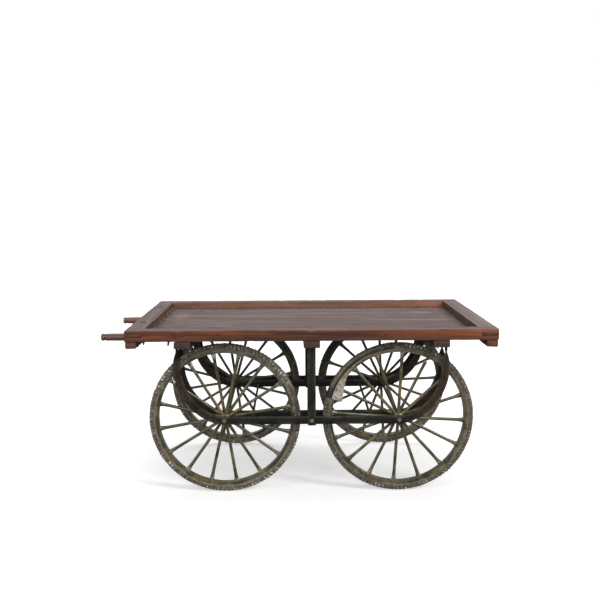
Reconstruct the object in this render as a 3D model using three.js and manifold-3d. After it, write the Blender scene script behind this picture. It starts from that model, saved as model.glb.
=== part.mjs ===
// A weathered flat hand cart: a framed wooden deck with two push handles, carried by bent flat
// bars on four spoked steel wheels with solid tyres.
//
// Millimetres. +X runs along the deck away from the handles, +Y across it, +Z up. The origin is on
// the floor under the middle of the whole cart, handles included. The near side is at -Y, and the
// handles are at the left end, -X.

import * as THREE from 'three';
import { mergeVertices } from 'three/addons/utils/BufferGeometryUtils.js';
import Module from 'manifold-3d';

// Deck frame
const DECK_LENGTH = 1800;
const DECK_WIDTH = 1140;
const DECK_TOP = 850;
const RAIL_WIDTH = 74;
const RAIL_HEIGHT = 55;
const END_BOARD_WIDTH = 88;
const TONGUE_WIDTH = 82;
const TONGUE_THICKNESS = 17;
const TONGUE_BELOW_TOP = 17;

// Bed of the tray
const PLANK_COUNT = 8;
const PLANK_THICKNESS = 16;
const PLANK_GAP = 1.2;

// Beams under the deck
const BEAM_HEIGHT = 36;
const CROSS_BEAM_WIDTH = 82;
const CROSS_BEAM_END_INSET = 4;
const END_BEAM_WIDTH = 55;
const END_BEAM_END_INSET = 6;
const END_BEAM_SETBACK = 2;
const END_BEAM_CHAMFER = 10;

// Push handles, turned, each with a tenon through the left end beam
const HANDLE_DIAMETER = 38;
const HANDLE_LENGTH = 174;
const HANDLE_SPACING = 576;
const HANDLE_TIP_ROUNDING = 8;
const HANDLE_BELOW_BEAM_MIDDLE = 3;
const TENON_DIAMETER = 20;
const GROOVE_FROM_TIP = 20;
const GROOVE_WIDTH = 7;
const GROOVE_DEPTH = 3;

// Wheels
const WHEEL_BASE = 870;
const WHEEL_TRACK = 826;
const WHEEL_RADIUS = 381;
const TYRE_WIDTH = 39;
const TYRE_CROWN_WIDTH = 27;
const TYRE_SHOULDER_HEIGHT = 7;
const RIM_INNER_RADIUS = 332;
const RIM_DEPTH = 15;
const RIM_BASE_THICKNESS = 5;
const RIM_WIDTH = 42;
const RIM_FLANGE_THICKNESS = 4;
const HUB_RADIUS = 25;
const HUB_BARREL_LENGTH = 44;
const HUB_NECK_RADIUS = 16;
const HUB_CONE_LENGTH = 5;
const SPOKE_COUNT = 16;
const SPOKE_WIDTH = 15.5;
const SPOKE_THICKNESS = 12;
const SPOKE_EDGE_BEVEL = 3;
const SPOKE_STAGGER = 13;
const SPOKE_ROOT_RADIUS = 20;
const SPOKE_FLARE_WIDTH = 28;
const SPOKE_FLARE_LENGTH = 34;
const BROKEN_SPOKE_SHORTFALL = 17;

// Axle bolts
const AXLE_DIAMETER = 16;
const AXLE_HEAD_WIDTH = 24;
const AXLE_HEAD_THICKNESS = 9;
const AXLE_NUT_THICKNESS = 12;
const AXLE_END_THREAD = 4;

// Bent flat bars, an outer and an inner one beside each pair of wheels
const BAR_SPREAD = 120;
const BAR_WIDTH = 40;
const BAR_THICKNESS = 8;
const HUB_BEND_RADIUS = 150;
const HUB_BEND_ANGLE = THREE.MathUtils.degToRad(24);
const UPRIGHT_BEND_RADIUS = 280;
const TWIST_LENGTH = 80;
const TWIST_STEPS = 6;
const BAR_FOOT_LENGTH = 76;

// Struts from the middle beam down to the bars
const STRUT_WIDTH = 40;
const STRUT_THICKNESS = 8;
const STRUT_BELOW_BAR = 5;
const STRUT_FOOT_LENGTH = 58;

// Tie rods across between the inner bars
const TIE_ROD_DIAMETER = 12;
const TIE_ROD_SPACING = 596;
const TIE_NUT_WIDTH = 20;
const TIE_NUT_THICKNESS = 9;
const TIE_END_THREAD = 3;

// Clearances
const SEAT_GAP = 0.3;
const AXLE_RUNNING_GAP = 0.1;
const HUB_END_GAP = 1;

// How finely round shapes are faceted
const WHEEL_SEGMENTS = 48;
const BORE_SEGMENTS = 16;
const HANDLE_SEGMENTS = 20;
const ROD_SEGMENTS = 12;
const BEND_SEGMENTS = 4;
const JOINING_OVERLAP = 2;

// Places that follow from the sizes above
const deckEnd = DECK_LENGTH / 2;
const deckSide = DECK_WIDTH / 2;
const railBottom = DECK_TOP - RAIL_HEIGHT;
const bedWidth = DECK_WIDTH - 2 * RAIL_WIDTH;
const bedLength = DECK_LENGTH - 2 * END_BOARD_WIDTH;
const beamTop = railBottom - SEAT_GAP;
const beamBottom = beamTop - BEAM_HEIGHT;
const beamMiddle = beamTop - BEAM_HEIGHT / 2;
const endBeamFace = deckEnd - END_BEAM_SETBACK;
const handleZ = beamMiddle - HANDLE_BELOW_BEAM_MIDDLE;
const handleTip = endBeamFace + HANDLE_LENGTH;
const axleX = WHEEL_BASE / 2;
const axleY = WHEEL_TRACK / 2;
const axleZ = WHEEL_RADIUS;
const rimOuterRadius = RIM_INNER_RADIUS + RIM_DEPTH;
const barOffset = BAR_SPREAD / 2;
const outerBarY = axleY + barOffset;
const innerBarY = axleY - barOffset;
const bendRadiusStep = HUB_BEND_RADIUS - UPRIGHT_BEND_RADIUS;
const uprightBendX = axleX + bendRadiusStep * Math.sin(HUB_BEND_ANGLE);
const bendTop = HUB_BEND_RADIUS - bendRadiusStep * Math.cos(HUB_BEND_ANGLE);
const uprightX = uprightBendX + UPRIGHT_BEND_RADIUS;
const barTop = beamBottom - SEAT_GAP - axleZ;
const crossBeamX = uprightX + BAR_THICKNESS / 2 - CROSS_BEAM_WIDTH / 2;

const COLOURS = {
  rail: { color: 0x7a4a35, roughness: 0.6, metalness: 0 },
  board: { color: 0x83706c, roughness: 0.75, metalness: 0 },
  bed: { color: 0x857670, roughness: 0.85, metalness: 0 },
  beam: { color: 0x5a443c, roughness: 0.8, metalness: 0 },
  handle: { color: 0x6e3a20, roughness: 0.35, metalness: 0 },
  bar: { color: 0x2a2622, roughness: 0.6, metalness: 0.6 },
  rod: { color: 0x4a3c32, roughness: 0.7, metalness: 0.6 },
  wheel: { color: 0x515338, roughness: 0.6, metalness: 0.3 },
  tyre: { color: 0x6b6457, roughness: 0.9, metalness: 0 },
};

const materials = {};
for (const [name, look] of Object.entries(COLOURS)) {
  materials[name] = new THREE.MeshStandardMaterial(look);
}

// Joining and cutting

const wasm = await Module();
wasm.setup();

function weld(geometry) {
  const bare = geometry.clone();
  bare.deleteAttribute('normal');
  bare.deleteAttribute('uv');
  return mergeVertices(bare);
}

function toSolid(geometry) {
  const welded = weld(geometry);
  return new wasm.Manifold(new wasm.Mesh({
    numProp: 3,
    vertProperties: new Float32Array(welded.attributes.position.array),
    triVerts: new Uint32Array(welded.index.array),
  }));
}

function toGeometry(solid) {
  const { vertProperties, triVerts } = solid.getMesh();
  const geometry = new THREE.BufferGeometry();
  geometry.setAttribute('position', new THREE.BufferAttribute(new Float32Array(vertProperties), 3));
  geometry.setIndex(new THREE.BufferAttribute(new Uint32Array(triVerts), 1));
  geometry.computeVertexNormals();
  return geometry;
}

// Joins all the pieces and then takes all the cuts away.
function joinAndCut(pieces, cuts = []) {
  let solid = toSolid(pieces[0]);
  for (const piece of pieces.slice(1)) {
    solid = solid.add(toSolid(piece));
  }
  for (const cut of cuts) {
    solid = solid.subtract(toSolid(cut));
  }
  return toGeometry(solid);
}

// Plain shapes, placed by their lowest and highest corners or along one axis

function block(xLow, xHigh, yLow, yHigh, zLow, zHigh) {
  const geometry = new THREE.BoxGeometry(xHigh - xLow, yHigh - yLow, zHigh - zLow);
  return geometry.translate((xLow + xHigh) / 2, (yLow + yHigh) / 2, (zLow + zHigh) / 2);
}

// An outline drawn in X and Z, extruded along Y from yLow to yHigh.
function slabAcross(outline, yLow, yHigh, options = {}) {
  const shape = Array.isArray(outline) ? shapeOf(outline) : outline;
  const settings = { depth: yHigh - yLow, bevelEnabled: false, ...options };
  const geometry = new THREE.ExtrudeGeometry(shape, settings);
  return geometry.rotateX(Math.PI / 2).translate(0, yHigh, 0);
}

// An outline drawn in Y and Z, extruded along X from xLow to xHigh.
function slabAlong(outline, xLow, xHigh) {
  const settings = { depth: xHigh - xLow, bevelEnabled: false };
  const geometry = new THREE.ExtrudeGeometry(shapeOf(outline), settings);
  return geometry.rotateX(Math.PI / 2).rotateZ(Math.PI / 2).translate(xLow, 0, 0);
}

function shapeOf(points) {
  return new THREE.Shape(points.map(([across, up]) => new THREE.Vector2(across, up)));
}

function cylinderAcross(radius, yLow, yHigh, segments) {
  const geometry = new THREE.CylinderGeometry(radius, radius, yHigh - yLow, segments);
  return geometry.translate(0, (yLow + yHigh) / 2, 0);
}

// A closed profile of [radius, height] pairs turned about the Y axis. It runs outwards along its
// low side and up its outer side.
function turnedRing(profile, segments) {
  const points = [...profile, profile[0]].map(([radius, height]) => new THREE.Vector2(radius, height));
  return new THREE.LatheGeometry(points, segments);
}

const HEXAGON_SIDES = 6;

function hexagonAcross(widthAcrossFlats, yLow, yHigh) {
  const cornerRadius = widthAcrossFlats / 2 / Math.cos(Math.PI / HEXAGON_SIDES);
  return cylinderAcross(cornerRadius, yLow, yHigh, HEXAGON_SIDES);
}

// The cart, in a group that is centred on the deck and moved so that the whole cart is centred

const group = new THREE.Group();
const cart = new THREE.Group();
cart.position.x = (handleTip - deckEnd) / 2;
group.add(cart);

function addMesh(parent, name, geometry, material) {
  const mesh = new THREE.Mesh(geometry, material);
  mesh.name = name;
  parent.add(mesh);
  return mesh;
}

const SIDES = [
  { name: 'near', sign: -1 },
  { name: 'far', sign: 1 },
];
const ENDS = [
  { name: 'left', sign: -1 },
  { name: 'right', sign: 1 },
];

// Side rails, open-slotted at both ends for the end boards' tongues

function railGeometry() {
  const slotTop = DECK_TOP - TONGUE_BELOW_TOP + SEAT_GAP;
  const slotBottom = DECK_TOP - TONGUE_BELOW_TOP - TONGUE_THICKNESS - SEAT_GAP;
  const slotEnd = deckEnd - TONGUE_WIDTH - SEAT_GAP;
  const rightEnd = [
    [deckEnd, railBottom],
    [deckEnd, slotBottom],
    [slotEnd, slotBottom],
    [slotEnd, slotTop],
    [deckEnd, slotTop],
    [deckEnd, DECK_TOP],
  ];
  const leftEnd = rightEnd.map(([x, z]) => [-x, z]).reverse();
  return slabAcross([...rightEnd, ...leftEnd], -RAIL_WIDTH / 2, RAIL_WIDTH / 2);
}

for (const side of SIDES) {
  const rail = addMesh(cart, `rail_${side.name}`, railGeometry(), materials.rail);
  rail.position.y = side.sign * (deckSide - RAIL_WIDTH / 2);
}

// End boards, flush with the rails' tops, with a tongue through each rail

function endBoardGeometry() {
  const bodySide = deckSide - RAIL_WIDTH - SEAT_GAP;
  const tongueTop = DECK_TOP - TONGUE_BELOW_TOP;
  const body = block(deckEnd - END_BOARD_WIDTH, deckEnd, -bodySide, bodySide, railBottom, DECK_TOP);
  const tongue = block(
    deckEnd - TONGUE_WIDTH, deckEnd, -deckSide, deckSide, tongueTop - TONGUE_THICKNESS, tongueTop);
  return joinAndCut([body, tongue]);
}

for (const end of ENDS) {
  const board = addMesh(cart, `end_board_${end.name}`, endBoardGeometry(), materials.board);
  board.rotation.z = end.sign > 0 ? 0 : Math.PI;
}

// Bed planks, lengthwise between the end boards, lower than the rails

const plankPitch = (bedWidth - PLANK_GAP) / PLANK_COUNT;

for (let index = 0; index < PLANK_COUNT; index += 1) {
  const halfLength = bedLength / 2 - SEAT_GAP;
  const halfWidth = (plankPitch - PLANK_GAP) / 2;
  const geometry = block(
    -halfLength, halfLength, -halfWidth, halfWidth, railBottom, railBottom + PLANK_THICKNESS);
  const plank = addMesh(cart, `plank_${index + 1}`, geometry, materials.bed);
  plank.position.y = (index - (PLANK_COUNT - 1) / 2) * plankPitch;
}

// Cross beams, over the bars' feet and over the struts

const CROSS_BEAMS = [
  { name: 'left', x: -crossBeamX },
  { name: 'middle', x: 0 },
  { name: 'right', x: crossBeamX },
];

for (const beam of CROSS_BEAMS) {
  const halfWidth = CROSS_BEAM_WIDTH / 2;
  const halfLength = deckSide - CROSS_BEAM_END_INSET;
  const geometry = block(-halfWidth, halfWidth, -halfLength, halfLength, beamBottom, beamTop);
  const mesh = addMesh(cart, `cross_beam_${beam.name}`, geometry, materials.beam);
  mesh.position.x = beam.x;
}

// End beams, with their outer lower edge cut off, the left one bored for the handles' tenons

function endBeamGeometry(isBored) {
  const inner = endBeamFace - END_BEAM_WIDTH;
  const halfLength = deckSide - END_BEAM_END_INSET;
  const outline = [
    [inner, beamBottom],
    [endBeamFace - END_BEAM_CHAMFER, beamBottom],
    [endBeamFace, beamBottom + END_BEAM_CHAMFER],
    [endBeamFace, beamTop],
    [inner, beamTop],
  ];
  const beam = slabAcross(outline, -halfLength, halfLength);
  if (!isBored) {
    return beam;
  }
  const bores = SIDES.map((side) => {
    const radius = TENON_DIAMETER / 2 + SEAT_GAP;
    const length = END_BEAM_WIDTH + 2 * JOINING_OVERLAP;
    const bore = new THREE.CylinderGeometry(radius, radius, length, HANDLE_SEGMENTS);
    const middleX = endBeamFace - END_BEAM_WIDTH / 2;
    return bore.rotateZ(Math.PI / 2).translate(middleX, side.sign * HANDLE_SPACING / 2, handleZ);
  });
  return joinAndCut([beam], bores);
}

for (const end of ENDS) {
  const geometry = endBeamGeometry(end.name === 'left');
  const beam = addMesh(cart, `end_beam_${end.name}`, geometry, materials.beam);
  beam.rotation.z = end.sign > 0 ? 0 : Math.PI;
}

// Push handles, drawn along +Y from the tenon's end to the tip

function handleGeometry() {
  const radius = HANDLE_DIAMETER / 2;
  const tenonRadius = TENON_DIAMETER / 2;
  const grooveMiddle = HANDLE_LENGTH - GROOVE_FROM_TIP;
  const profile = [
    [0, -END_BEAM_WIDTH],
    [tenonRadius, -END_BEAM_WIDTH],
    [tenonRadius, SEAT_GAP],
    [radius, SEAT_GAP],
    [radius, grooveMiddle - GROOVE_WIDTH / 2],
    [radius - GROOVE_DEPTH, grooveMiddle],
    [radius, grooveMiddle + GROOVE_WIDTH / 2],
    [radius, HANDLE_LENGTH - HANDLE_TIP_ROUNDING],
    [radius - HANDLE_TIP_ROUNDING * 0.3, HANDLE_LENGTH - HANDLE_TIP_ROUNDING * 0.3],
    [radius - HANDLE_TIP_ROUNDING, HANDLE_LENGTH],
    [0, HANDLE_LENGTH],
  ];
  const points = profile.map(([across, along]) => new THREE.Vector2(across, along));
  return new THREE.LatheGeometry(points, HANDLE_SEGMENTS);
}

for (const side of SIDES) {
  const handle = addMesh(cart, `handle_${side.name}`, handleGeometry(), materials.handle);
  handle.rotation.z = Math.PI / 2;
  handle.position.set(-endBeamFace, side.sign * HANDLE_SPACING / 2, handleZ);
}

// Bent bars. One half is drawn from the middle to the right: level past the hub, bent up in its own
// plane by two arcs, twisted a quarter turn, and folded into a foot under the cross beam. Heights
// are from the axle. The left half is the same half turned round.

function barOutline() {
  const half = BAR_WIDTH / 2;
  const level = -Math.PI / 2;
  const handover = level + HUB_BEND_ANGLE;
  const shape = new THREE.Shape();
  shape.moveTo(-JOINING_OVERLAP, -half);
  shape.lineTo(axleX, -half);
  shape.absarc(axleX, HUB_BEND_RADIUS, HUB_BEND_RADIUS + half, level, handover, false);
  shape.absarc(uprightBendX, bendTop, UPRIGHT_BEND_RADIUS + half, handover, 0, false);
  shape.lineTo(uprightX - half, bendTop);
  shape.absarc(uprightBendX, bendTop, UPRIGHT_BEND_RADIUS - half, 0, handover, true);
  shape.absarc(axleX, HUB_BEND_RADIUS, HUB_BEND_RADIUS - half, handover, level, true);
  shape.lineTo(-JOINING_OVERLAP, half);
  return shape;
}

// The upright is a box whose rings of corners are moved to their heights and turned in step.
function twistedUpright() {
  const rings = [{ z: bendTop - JOINING_OVERLAP, turn: 0 }];
  for (let step = 0; step <= TWIST_STEPS; step += 1) {
    const share = step / TWIST_STEPS;
    rings.push({ z: bendTop + share * TWIST_LENGTH, turn: share * Math.PI / 2 });
  }
  rings.push({ z: barTop, turn: Math.PI / 2 });
  const spans = rings.length - 1;
  const geometry = new THREE.BoxGeometry(BAR_WIDTH, BAR_THICKNESS, spans, 1, 1, spans);
  const position = geometry.attributes.position;
  const corner = new THREE.Vector3();
  const zAxis = new THREE.Vector3(0, 0, 1);
  for (let index = 0; index < position.count; index += 1) {
    corner.fromBufferAttribute(position, index);
    const ring = rings[Math.round(corner.z + spans / 2)];
    corner.z = 0;
    corner.applyAxisAngle(zAxis, ring.turn);
    position.setXYZ(index, corner.x, corner.y, ring.z);
  }
  return geometry.translate(uprightX, 0, 0);
}

function barGeometry(crossingRodX) {
  const halfThickness = BAR_THICKNESS / 2;
  const footOuter = uprightX + halfThickness;
  const foot = block(
    footOuter - BAR_FOOT_LENGTH, footOuter, -BAR_WIDTH / 2, BAR_WIDTH / 2,
    barTop - BAR_THICKNESS, barTop);
  const level = slabAcross(
    barOutline(), -halfThickness, halfThickness, { curveSegments: BEND_SEGMENTS });
  const rightHalf = [level, twistedUpright(), foot];
  const leftHalf = rightHalf.map((piece) => piece.clone().rotateZ(Math.PI));
  const holes = [];
  for (const end of ENDS) {
    const axleHole = cylinderAcross(
      AXLE_DIAMETER / 2 + SEAT_GAP, -BAR_THICKNESS, BAR_THICKNESS, BORE_SEGMENTS);
    holes.push(axleHole.translate(end.sign * axleX, 0, 0));
    if (crossingRodX > 0) {
      const rodHole = cylinderAcross(
        TIE_ROD_DIAMETER / 2 + SEAT_GAP, -BAR_THICKNESS, BAR_THICKNESS, ROD_SEGMENTS);
      holes.push(rodHole.translate(end.sign * crossingRodX, 0, 0));
    }
  }
  return joinAndCut([...rightHalf, ...leftHalf], holes);
}

const BARS = [
  { name: 'outer', y: outerBarY, rodX: 0 },
  { name: 'inner', y: innerBarY, rodX: TIE_ROD_SPACING / 2 },
];

for (const side of SIDES) {
  for (const bar of BARS) {
    const name = `bar_${bar.name}_${side.name}`;
    const mesh = addMesh(cart, name, barGeometry(bar.rodX), materials.bar);
    mesh.position.set(0, side.sign * bar.y, axleZ);
  }
}

// Struts, on the outside of the outer bars and the inside of the inner ones. Each is drawn with its
// upright at Y 0 and its foot towards +Y, under the middle beam.

function strutGeometry() {
  const half = STRUT_THICKNESS / 2;
  const top = beamBottom - SEAT_GAP;
  const bottom = axleZ - BAR_WIDTH / 2 - STRUT_BELOW_BAR;
  const outline = [
    [-half, bottom],
    [half, bottom],
    [half, top - STRUT_THICKNESS],
    [-half + STRUT_FOOT_LENGTH, top - STRUT_THICKNESS],
    [-half + STRUT_FOOT_LENGTH, top],
    [-half, top],
  ];
  return slabAlong(outline, -STRUT_WIDTH / 2, STRUT_WIDTH / 2);
}

const strutStandoff = BAR_THICKNESS / 2 + SEAT_GAP + STRUT_THICKNESS / 2;
const STRUTS = [
  { name: 'outer', y: outerBarY + strutStandoff, footToMiddle: true },
  { name: 'inner', y: innerBarY - strutStandoff, footToMiddle: false },
];

for (const side of SIDES) {
  for (const strut of STRUTS) {
    const mesh = addMesh(cart, `strut_${strut.name}_${side.name}`, strutGeometry(), materials.bar);
    mesh.position.y = side.sign * strut.y;
    const footSign = strut.footToMiddle ? -side.sign : side.sign;
    mesh.rotation.z = footSign > 0 ? 0 : Math.PI;
  }
}

// Tie rods, through both inner bars with a nut on each end

function tieRodGeometry() {
  const nutStart = innerBarY + BAR_THICKNESS / 2 + SEAT_GAP;
  const rodEnd = nutStart + TIE_NUT_THICKNESS + TIE_END_THREAD;
  const rod = cylinderAcross(TIE_ROD_DIAMETER / 2, -rodEnd, rodEnd, ROD_SEGMENTS);
  const nuts = SIDES.map((side) => {
    const from = side.sign * nutStart;
    const to = side.sign * (nutStart + TIE_NUT_THICKNESS);
    return hexagonAcross(TIE_NUT_WIDTH, Math.min(from, to), Math.max(from, to));
  });
  return joinAndCut([rod, ...nuts]);
}

for (const end of ENDS) {
  const rod = addMesh(cart, `tie_rod_${end.name}`, tieRodGeometry(), materials.rod);
  rod.position.set(end.sign * TIE_ROD_SPACING / 2, 0, axleZ);
}

// Axle bolts, from a head outside the outer bar to a nut inside the inner one. Each is drawn with
// its head towards +Y.

function axleGeometry() {
  const headStart = barOffset + BAR_THICKNESS / 2 + SEAT_GAP;
  const nutEnd = headStart + AXLE_NUT_THICKNESS;
  const head = hexagonAcross(AXLE_HEAD_WIDTH, headStart, headStart + AXLE_HEAD_THICKNESS);
  const nut = hexagonAcross(AXLE_HEAD_WIDTH, -nutEnd, -headStart);
  const shank = cylinderAcross(
    AXLE_DIAMETER / 2, -nutEnd - AXLE_END_THREAD, headStart + JOINING_OVERLAP, BORE_SEGMENTS);
  return joinAndCut([shank, head, nut]);
}

// Wheel pieces, drawn about the Y axis with their middle at the origin

function hubGeometry(firstSpokeAngle, brokenSpoke) {
  const boreRadius = (AXLE_DIAMETER / 2 + AXLE_RUNNING_GAP) / Math.cos(Math.PI / BORE_SEGMENTS);
  const barrel = HUB_BARREL_LENGTH / 2;
  const end = barOffset - BAR_THICKNESS / 2 - HUB_END_GAP;
  const hub = turnedRing([
    [boreRadius, -end],
    [HUB_NECK_RADIUS, -end],
    [HUB_NECK_RADIUS, -barrel - HUB_CONE_LENGTH],
    [HUB_RADIUS, -barrel],
    [HUB_RADIUS, barrel],
    [HUB_NECK_RADIUS, barrel + HUB_CONE_LENGTH],
    [HUB_NECK_RADIUS, end],
    [boreRadius, end],
  ], BORE_SEGMENTS);
  const spokes = [];
  for (let index = 0; index < SPOKE_COUNT; index += 1) {
    const stagger = index % 2 === 0 ? -SPOKE_STAGGER : SPOKE_STAGGER;
    const spoke = spokeGeometry(stagger, index === brokenSpoke);
    spokes.push(spoke.rotateY(firstSpokeAngle + index * 2 * Math.PI / SPOKE_COUNT));
  }
  return joinAndCut([hub, ...spokes]);
}

// A spoke points along +Z and widens like a fish's tail at the rim. It starts to one side of the
// hub's middle by its stagger, and comes back to the middle at the rim. A broken one has lost its
// tail.
function spokeGeometry(stagger, isBroken) {
  const halfFlare = SPOKE_FLARE_WIDTH / 2;
  const facetDip = halfFlare * Math.tan(Math.PI / WHEEL_SEGMENTS);
  const rimEnd = RIM_INNER_RADIUS - facetDip - SEAT_GAP;
  const half = SPOKE_WIDTH / 2;
  const flareStart = rimEnd - SPOKE_FLARE_LENGTH;
  const brokenEnd = rimEnd - BROKEN_SPOKE_SHORTFALL;
  const wholeTail = [[half, flareStart], [halfFlare, rimEnd], [-halfFlare, rimEnd], [-half, flareStart]];
  const brokenTail = [[half, brokenEnd], [-half, brokenEnd - SPOKE_WIDTH / 2]];
  const tail = isBroken ? brokenTail : wholeTail;
  const outline = [[-half, SPOKE_ROOT_RADIUS], [half, SPOKE_ROOT_RADIUS], ...tail];
  const inset = SPOKE_EDGE_BEVEL;
  const bevel = {
    bevelEnabled: true,
    bevelThickness: inset,
    bevelSize: inset,
    bevelOffset: -inset,
    bevelSegments: 1,
  };
  const flat = SPOKE_THICKNESS / 2 - inset;
  const spoke = slabAcross(outline, -flat, flat, bevel);
  const lean = new THREE.Matrix4().makeShear(0, 0, 0, 0, 0, -stagger / rimEnd);
  return spoke.applyMatrix4(lean).translate(0, stagger, 0);
}

function rimGeometry() {
  const half = RIM_WIDTH / 2;
  const bed = RIM_INNER_RADIUS + RIM_BASE_THICKNESS;
  const insideFlange = half - RIM_FLANGE_THICKNESS;
  return turnedRing([
    [RIM_INNER_RADIUS, -half],
    [rimOuterRadius, -half],
    [rimOuterRadius, -insideFlange],
    [bed, -insideFlange],
    [bed, insideFlange],
    [rimOuterRadius, insideFlange],
    [rimOuterRadius, half],
    [RIM_INNER_RADIUS, half],
  ], WHEEL_SEGMENTS);
}

function tyreGeometry() {
  const seat = RIM_INNER_RADIUS + RIM_BASE_THICKNESS + SEAT_GAP;
  const seatHalf = RIM_WIDTH / 2 - RIM_FLANGE_THICKNESS - SEAT_GAP;
  const overFlange = rimOuterRadius + SEAT_GAP;
  const half = TYRE_WIDTH / 2;
  const crownHalf = TYRE_CROWN_WIDTH / 2;
  const shoulder = WHEEL_RADIUS - TYRE_SHOULDER_HEIGHT;
  return turnedRing([
    [seat, -seatHalf],
    [overFlange, -seatHalf],
    [overFlange, -half],
    [shoulder, -half],
    [WHEEL_RADIUS, -crownHalf],
    [WHEEL_RADIUS, crownHalf],
    [shoulder, half],
    [overFlange, half],
    [overFlange, seatHalf],
    [seat, seatHalf],
  ], WHEEL_SEGMENTS);
}

// The first spoke's angle is in degrees from straight up, towards +X. Spokes are counted that way.
const WHEELS = [
  { name: 'near_left', x: -1, y: -1, firstSpoke: 13, brokenSpoke: null },
  { name: 'near_right', x: 1, y: -1, firstSpoke: 3.5, brokenSpoke: 1 },
  { name: 'far_left', x: -1, y: 1, firstSpoke: 14.5, brokenSpoke: null },
  { name: 'far_right', x: 1, y: 1, firstSpoke: 20, brokenSpoke: null },
];

for (const wheel of WHEELS) {
  const place = new THREE.Group();
  place.position.set(wheel.x * axleX, wheel.y * axleY, axleZ);
  cart.add(place);
  const firstSpoke = THREE.MathUtils.degToRad(wheel.firstSpoke);
  addMesh(place, `hub_${wheel.name}`, hubGeometry(firstSpoke, wheel.brokenSpoke), materials.wheel);
  addMesh(place, `rim_${wheel.name}`, rimGeometry(), materials.wheel);
  addMesh(place, `tyre_${wheel.name}`, tyreGeometry(), materials.tyre);
  const axle = addMesh(place, `axle_${wheel.name}`, axleGeometry(), materials.rod);
  axle.rotation.z = wheel.y > 0 ? 0 : Math.PI;
}

export default group;
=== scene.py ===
# %% [markdown]
# # A weathered flat hand cart
#
# This lesson dresses a cart that is already solid: a framed wooden deck, four spoked wheels and an
# undercarriage of bent flat bars. The solid model is the frame of the lesson. It is loaded first,
# and every piece that we make sits where its solid is, in metres, with +Z up, the near side at -Y
# and the push handles at the left end, -X. The real cart is old and has been worked hard, so most
# of the effort goes into worn arrises, dust, rust and rubber that is coming apart.

import math

import bmesh
import bpy
from mathutils import Matrix, Vector, noise


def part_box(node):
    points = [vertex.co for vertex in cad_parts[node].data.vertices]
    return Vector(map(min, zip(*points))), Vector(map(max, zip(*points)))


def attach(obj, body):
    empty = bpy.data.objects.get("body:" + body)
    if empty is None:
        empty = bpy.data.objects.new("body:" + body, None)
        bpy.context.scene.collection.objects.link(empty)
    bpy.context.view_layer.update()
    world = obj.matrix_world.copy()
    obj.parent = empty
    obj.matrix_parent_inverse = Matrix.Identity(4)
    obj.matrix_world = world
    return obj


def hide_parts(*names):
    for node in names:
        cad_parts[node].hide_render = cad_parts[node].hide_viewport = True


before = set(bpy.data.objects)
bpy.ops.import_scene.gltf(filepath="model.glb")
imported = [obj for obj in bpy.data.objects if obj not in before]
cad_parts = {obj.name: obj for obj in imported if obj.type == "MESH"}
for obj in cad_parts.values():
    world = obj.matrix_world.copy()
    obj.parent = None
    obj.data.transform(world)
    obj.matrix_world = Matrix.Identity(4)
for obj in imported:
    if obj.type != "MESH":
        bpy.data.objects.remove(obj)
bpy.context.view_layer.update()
print("solid pieces:", len(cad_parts))

# %% [markdown]
# ## The camera
#
# The photograph was taken from a little above the deck with a short telephoto lens. The camera is
# built from a heading, a downward pitch and a slight roll, each one turn of a matrix. A camera
# that tracks an empty would be quicker to make, but it could not hold the roll.

# %% The camera
CAMERA_PLACE = Vector((0.0038, -4.6008, 1.5051))
CAMERA_HEADING = math.radians(-0.3737)
CAMERA_PITCH = math.radians(90 - 7.2176)
CAMERA_ROLL = math.radians(-0.3225)
FOCAL_LENGTH_PX = 852.8
FRAME_PX = 600
SENSOR = 36

camera = bpy.data.objects.new("photo_camera", bpy.data.cameras.new("photo_camera"))
camera.data.sensor_width = SENSOR
camera.data.lens = FOCAL_LENGTH_PX / FRAME_PX * SENSOR
camera.matrix_world = (
    Matrix.Translation(CAMERA_PLACE)
    @ Matrix.Rotation(CAMERA_HEADING, 4, "Z")
    @ Matrix.Rotation(CAMERA_PITCH, 4, "X")
    @ Matrix.Rotation(CAMERA_ROLL, 4, "Z")
)
bpy.context.scene.collection.objects.link(camera)
bpy.context.scene.camera = camera
print("lens, mm:", round(camera.data.lens, 2))

# %% [markdown]
# ## The studio
#
# The picture has a plain white surround, the most light from the right, some from the left, the
# front and above, and little from below. Wide, far-off lamps light the floor evenly as far as the
# camera can see, so no horizon shows. The sky looks white, but lights the cart less than it looks,
# so that the shade under the deck stays deep. Plain display colours are chosen, because the
# film-like default would grey the white floor.

# %% The sky and the lights
SKY_SEEN, SKY_LIGHT = 1.0, 0.28
KEY_LIGHT, LEFT_LIGHT, FRONT_LIGHT, TOP_LIGHT = 1.50, 0.74, 0.90, 1.25


def soft_sun(name, towards, strength, width, colour=(1, 1, 1)):
    """A far-off lamp, as seen along a direction, that spreads over some degrees"""
    lamp = bpy.data.lights.new(name, "SUN")
    lamp.energy = strength
    lamp.angle = math.radians(width)
    lamp.color = colour
    holder = bpy.data.objects.new(name, lamp)
    holder.matrix_world = Vector(towards).to_track_quat("Z", "Y").to_matrix().to_4x4()
    bpy.context.scene.collection.objects.link(holder)


def seen_or_lit(tree, seen, lit):
    """One value where the camera looks straight at a thing, another where its light falls"""
    ray = tree.nodes.new("ShaderNodeLightPath").outputs["Is Camera Ray"]
    chosen = tree.nodes.new("ShaderNodeMapRange")
    chosen.inputs["To Min"].default_value = lit
    chosen.inputs["To Max"].default_value = seen
    tree.links.new(ray, chosen.inputs["Value"])
    return chosen.outputs[0]


world = bpy.data.worlds.new("studio_sky")
world.use_nodes = True
sky = world.node_tree.nodes["Background"]
sky.inputs["Color"].default_value = (1, 1, 1, 1)
world.node_tree.links.new(seen_or_lit(world.node_tree, SKY_SEEN, SKY_LIGHT), sky.inputs["Strength"])
bpy.context.scene.world = world
bpy.context.scene.view_settings.view_transform = "Standard"

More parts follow.
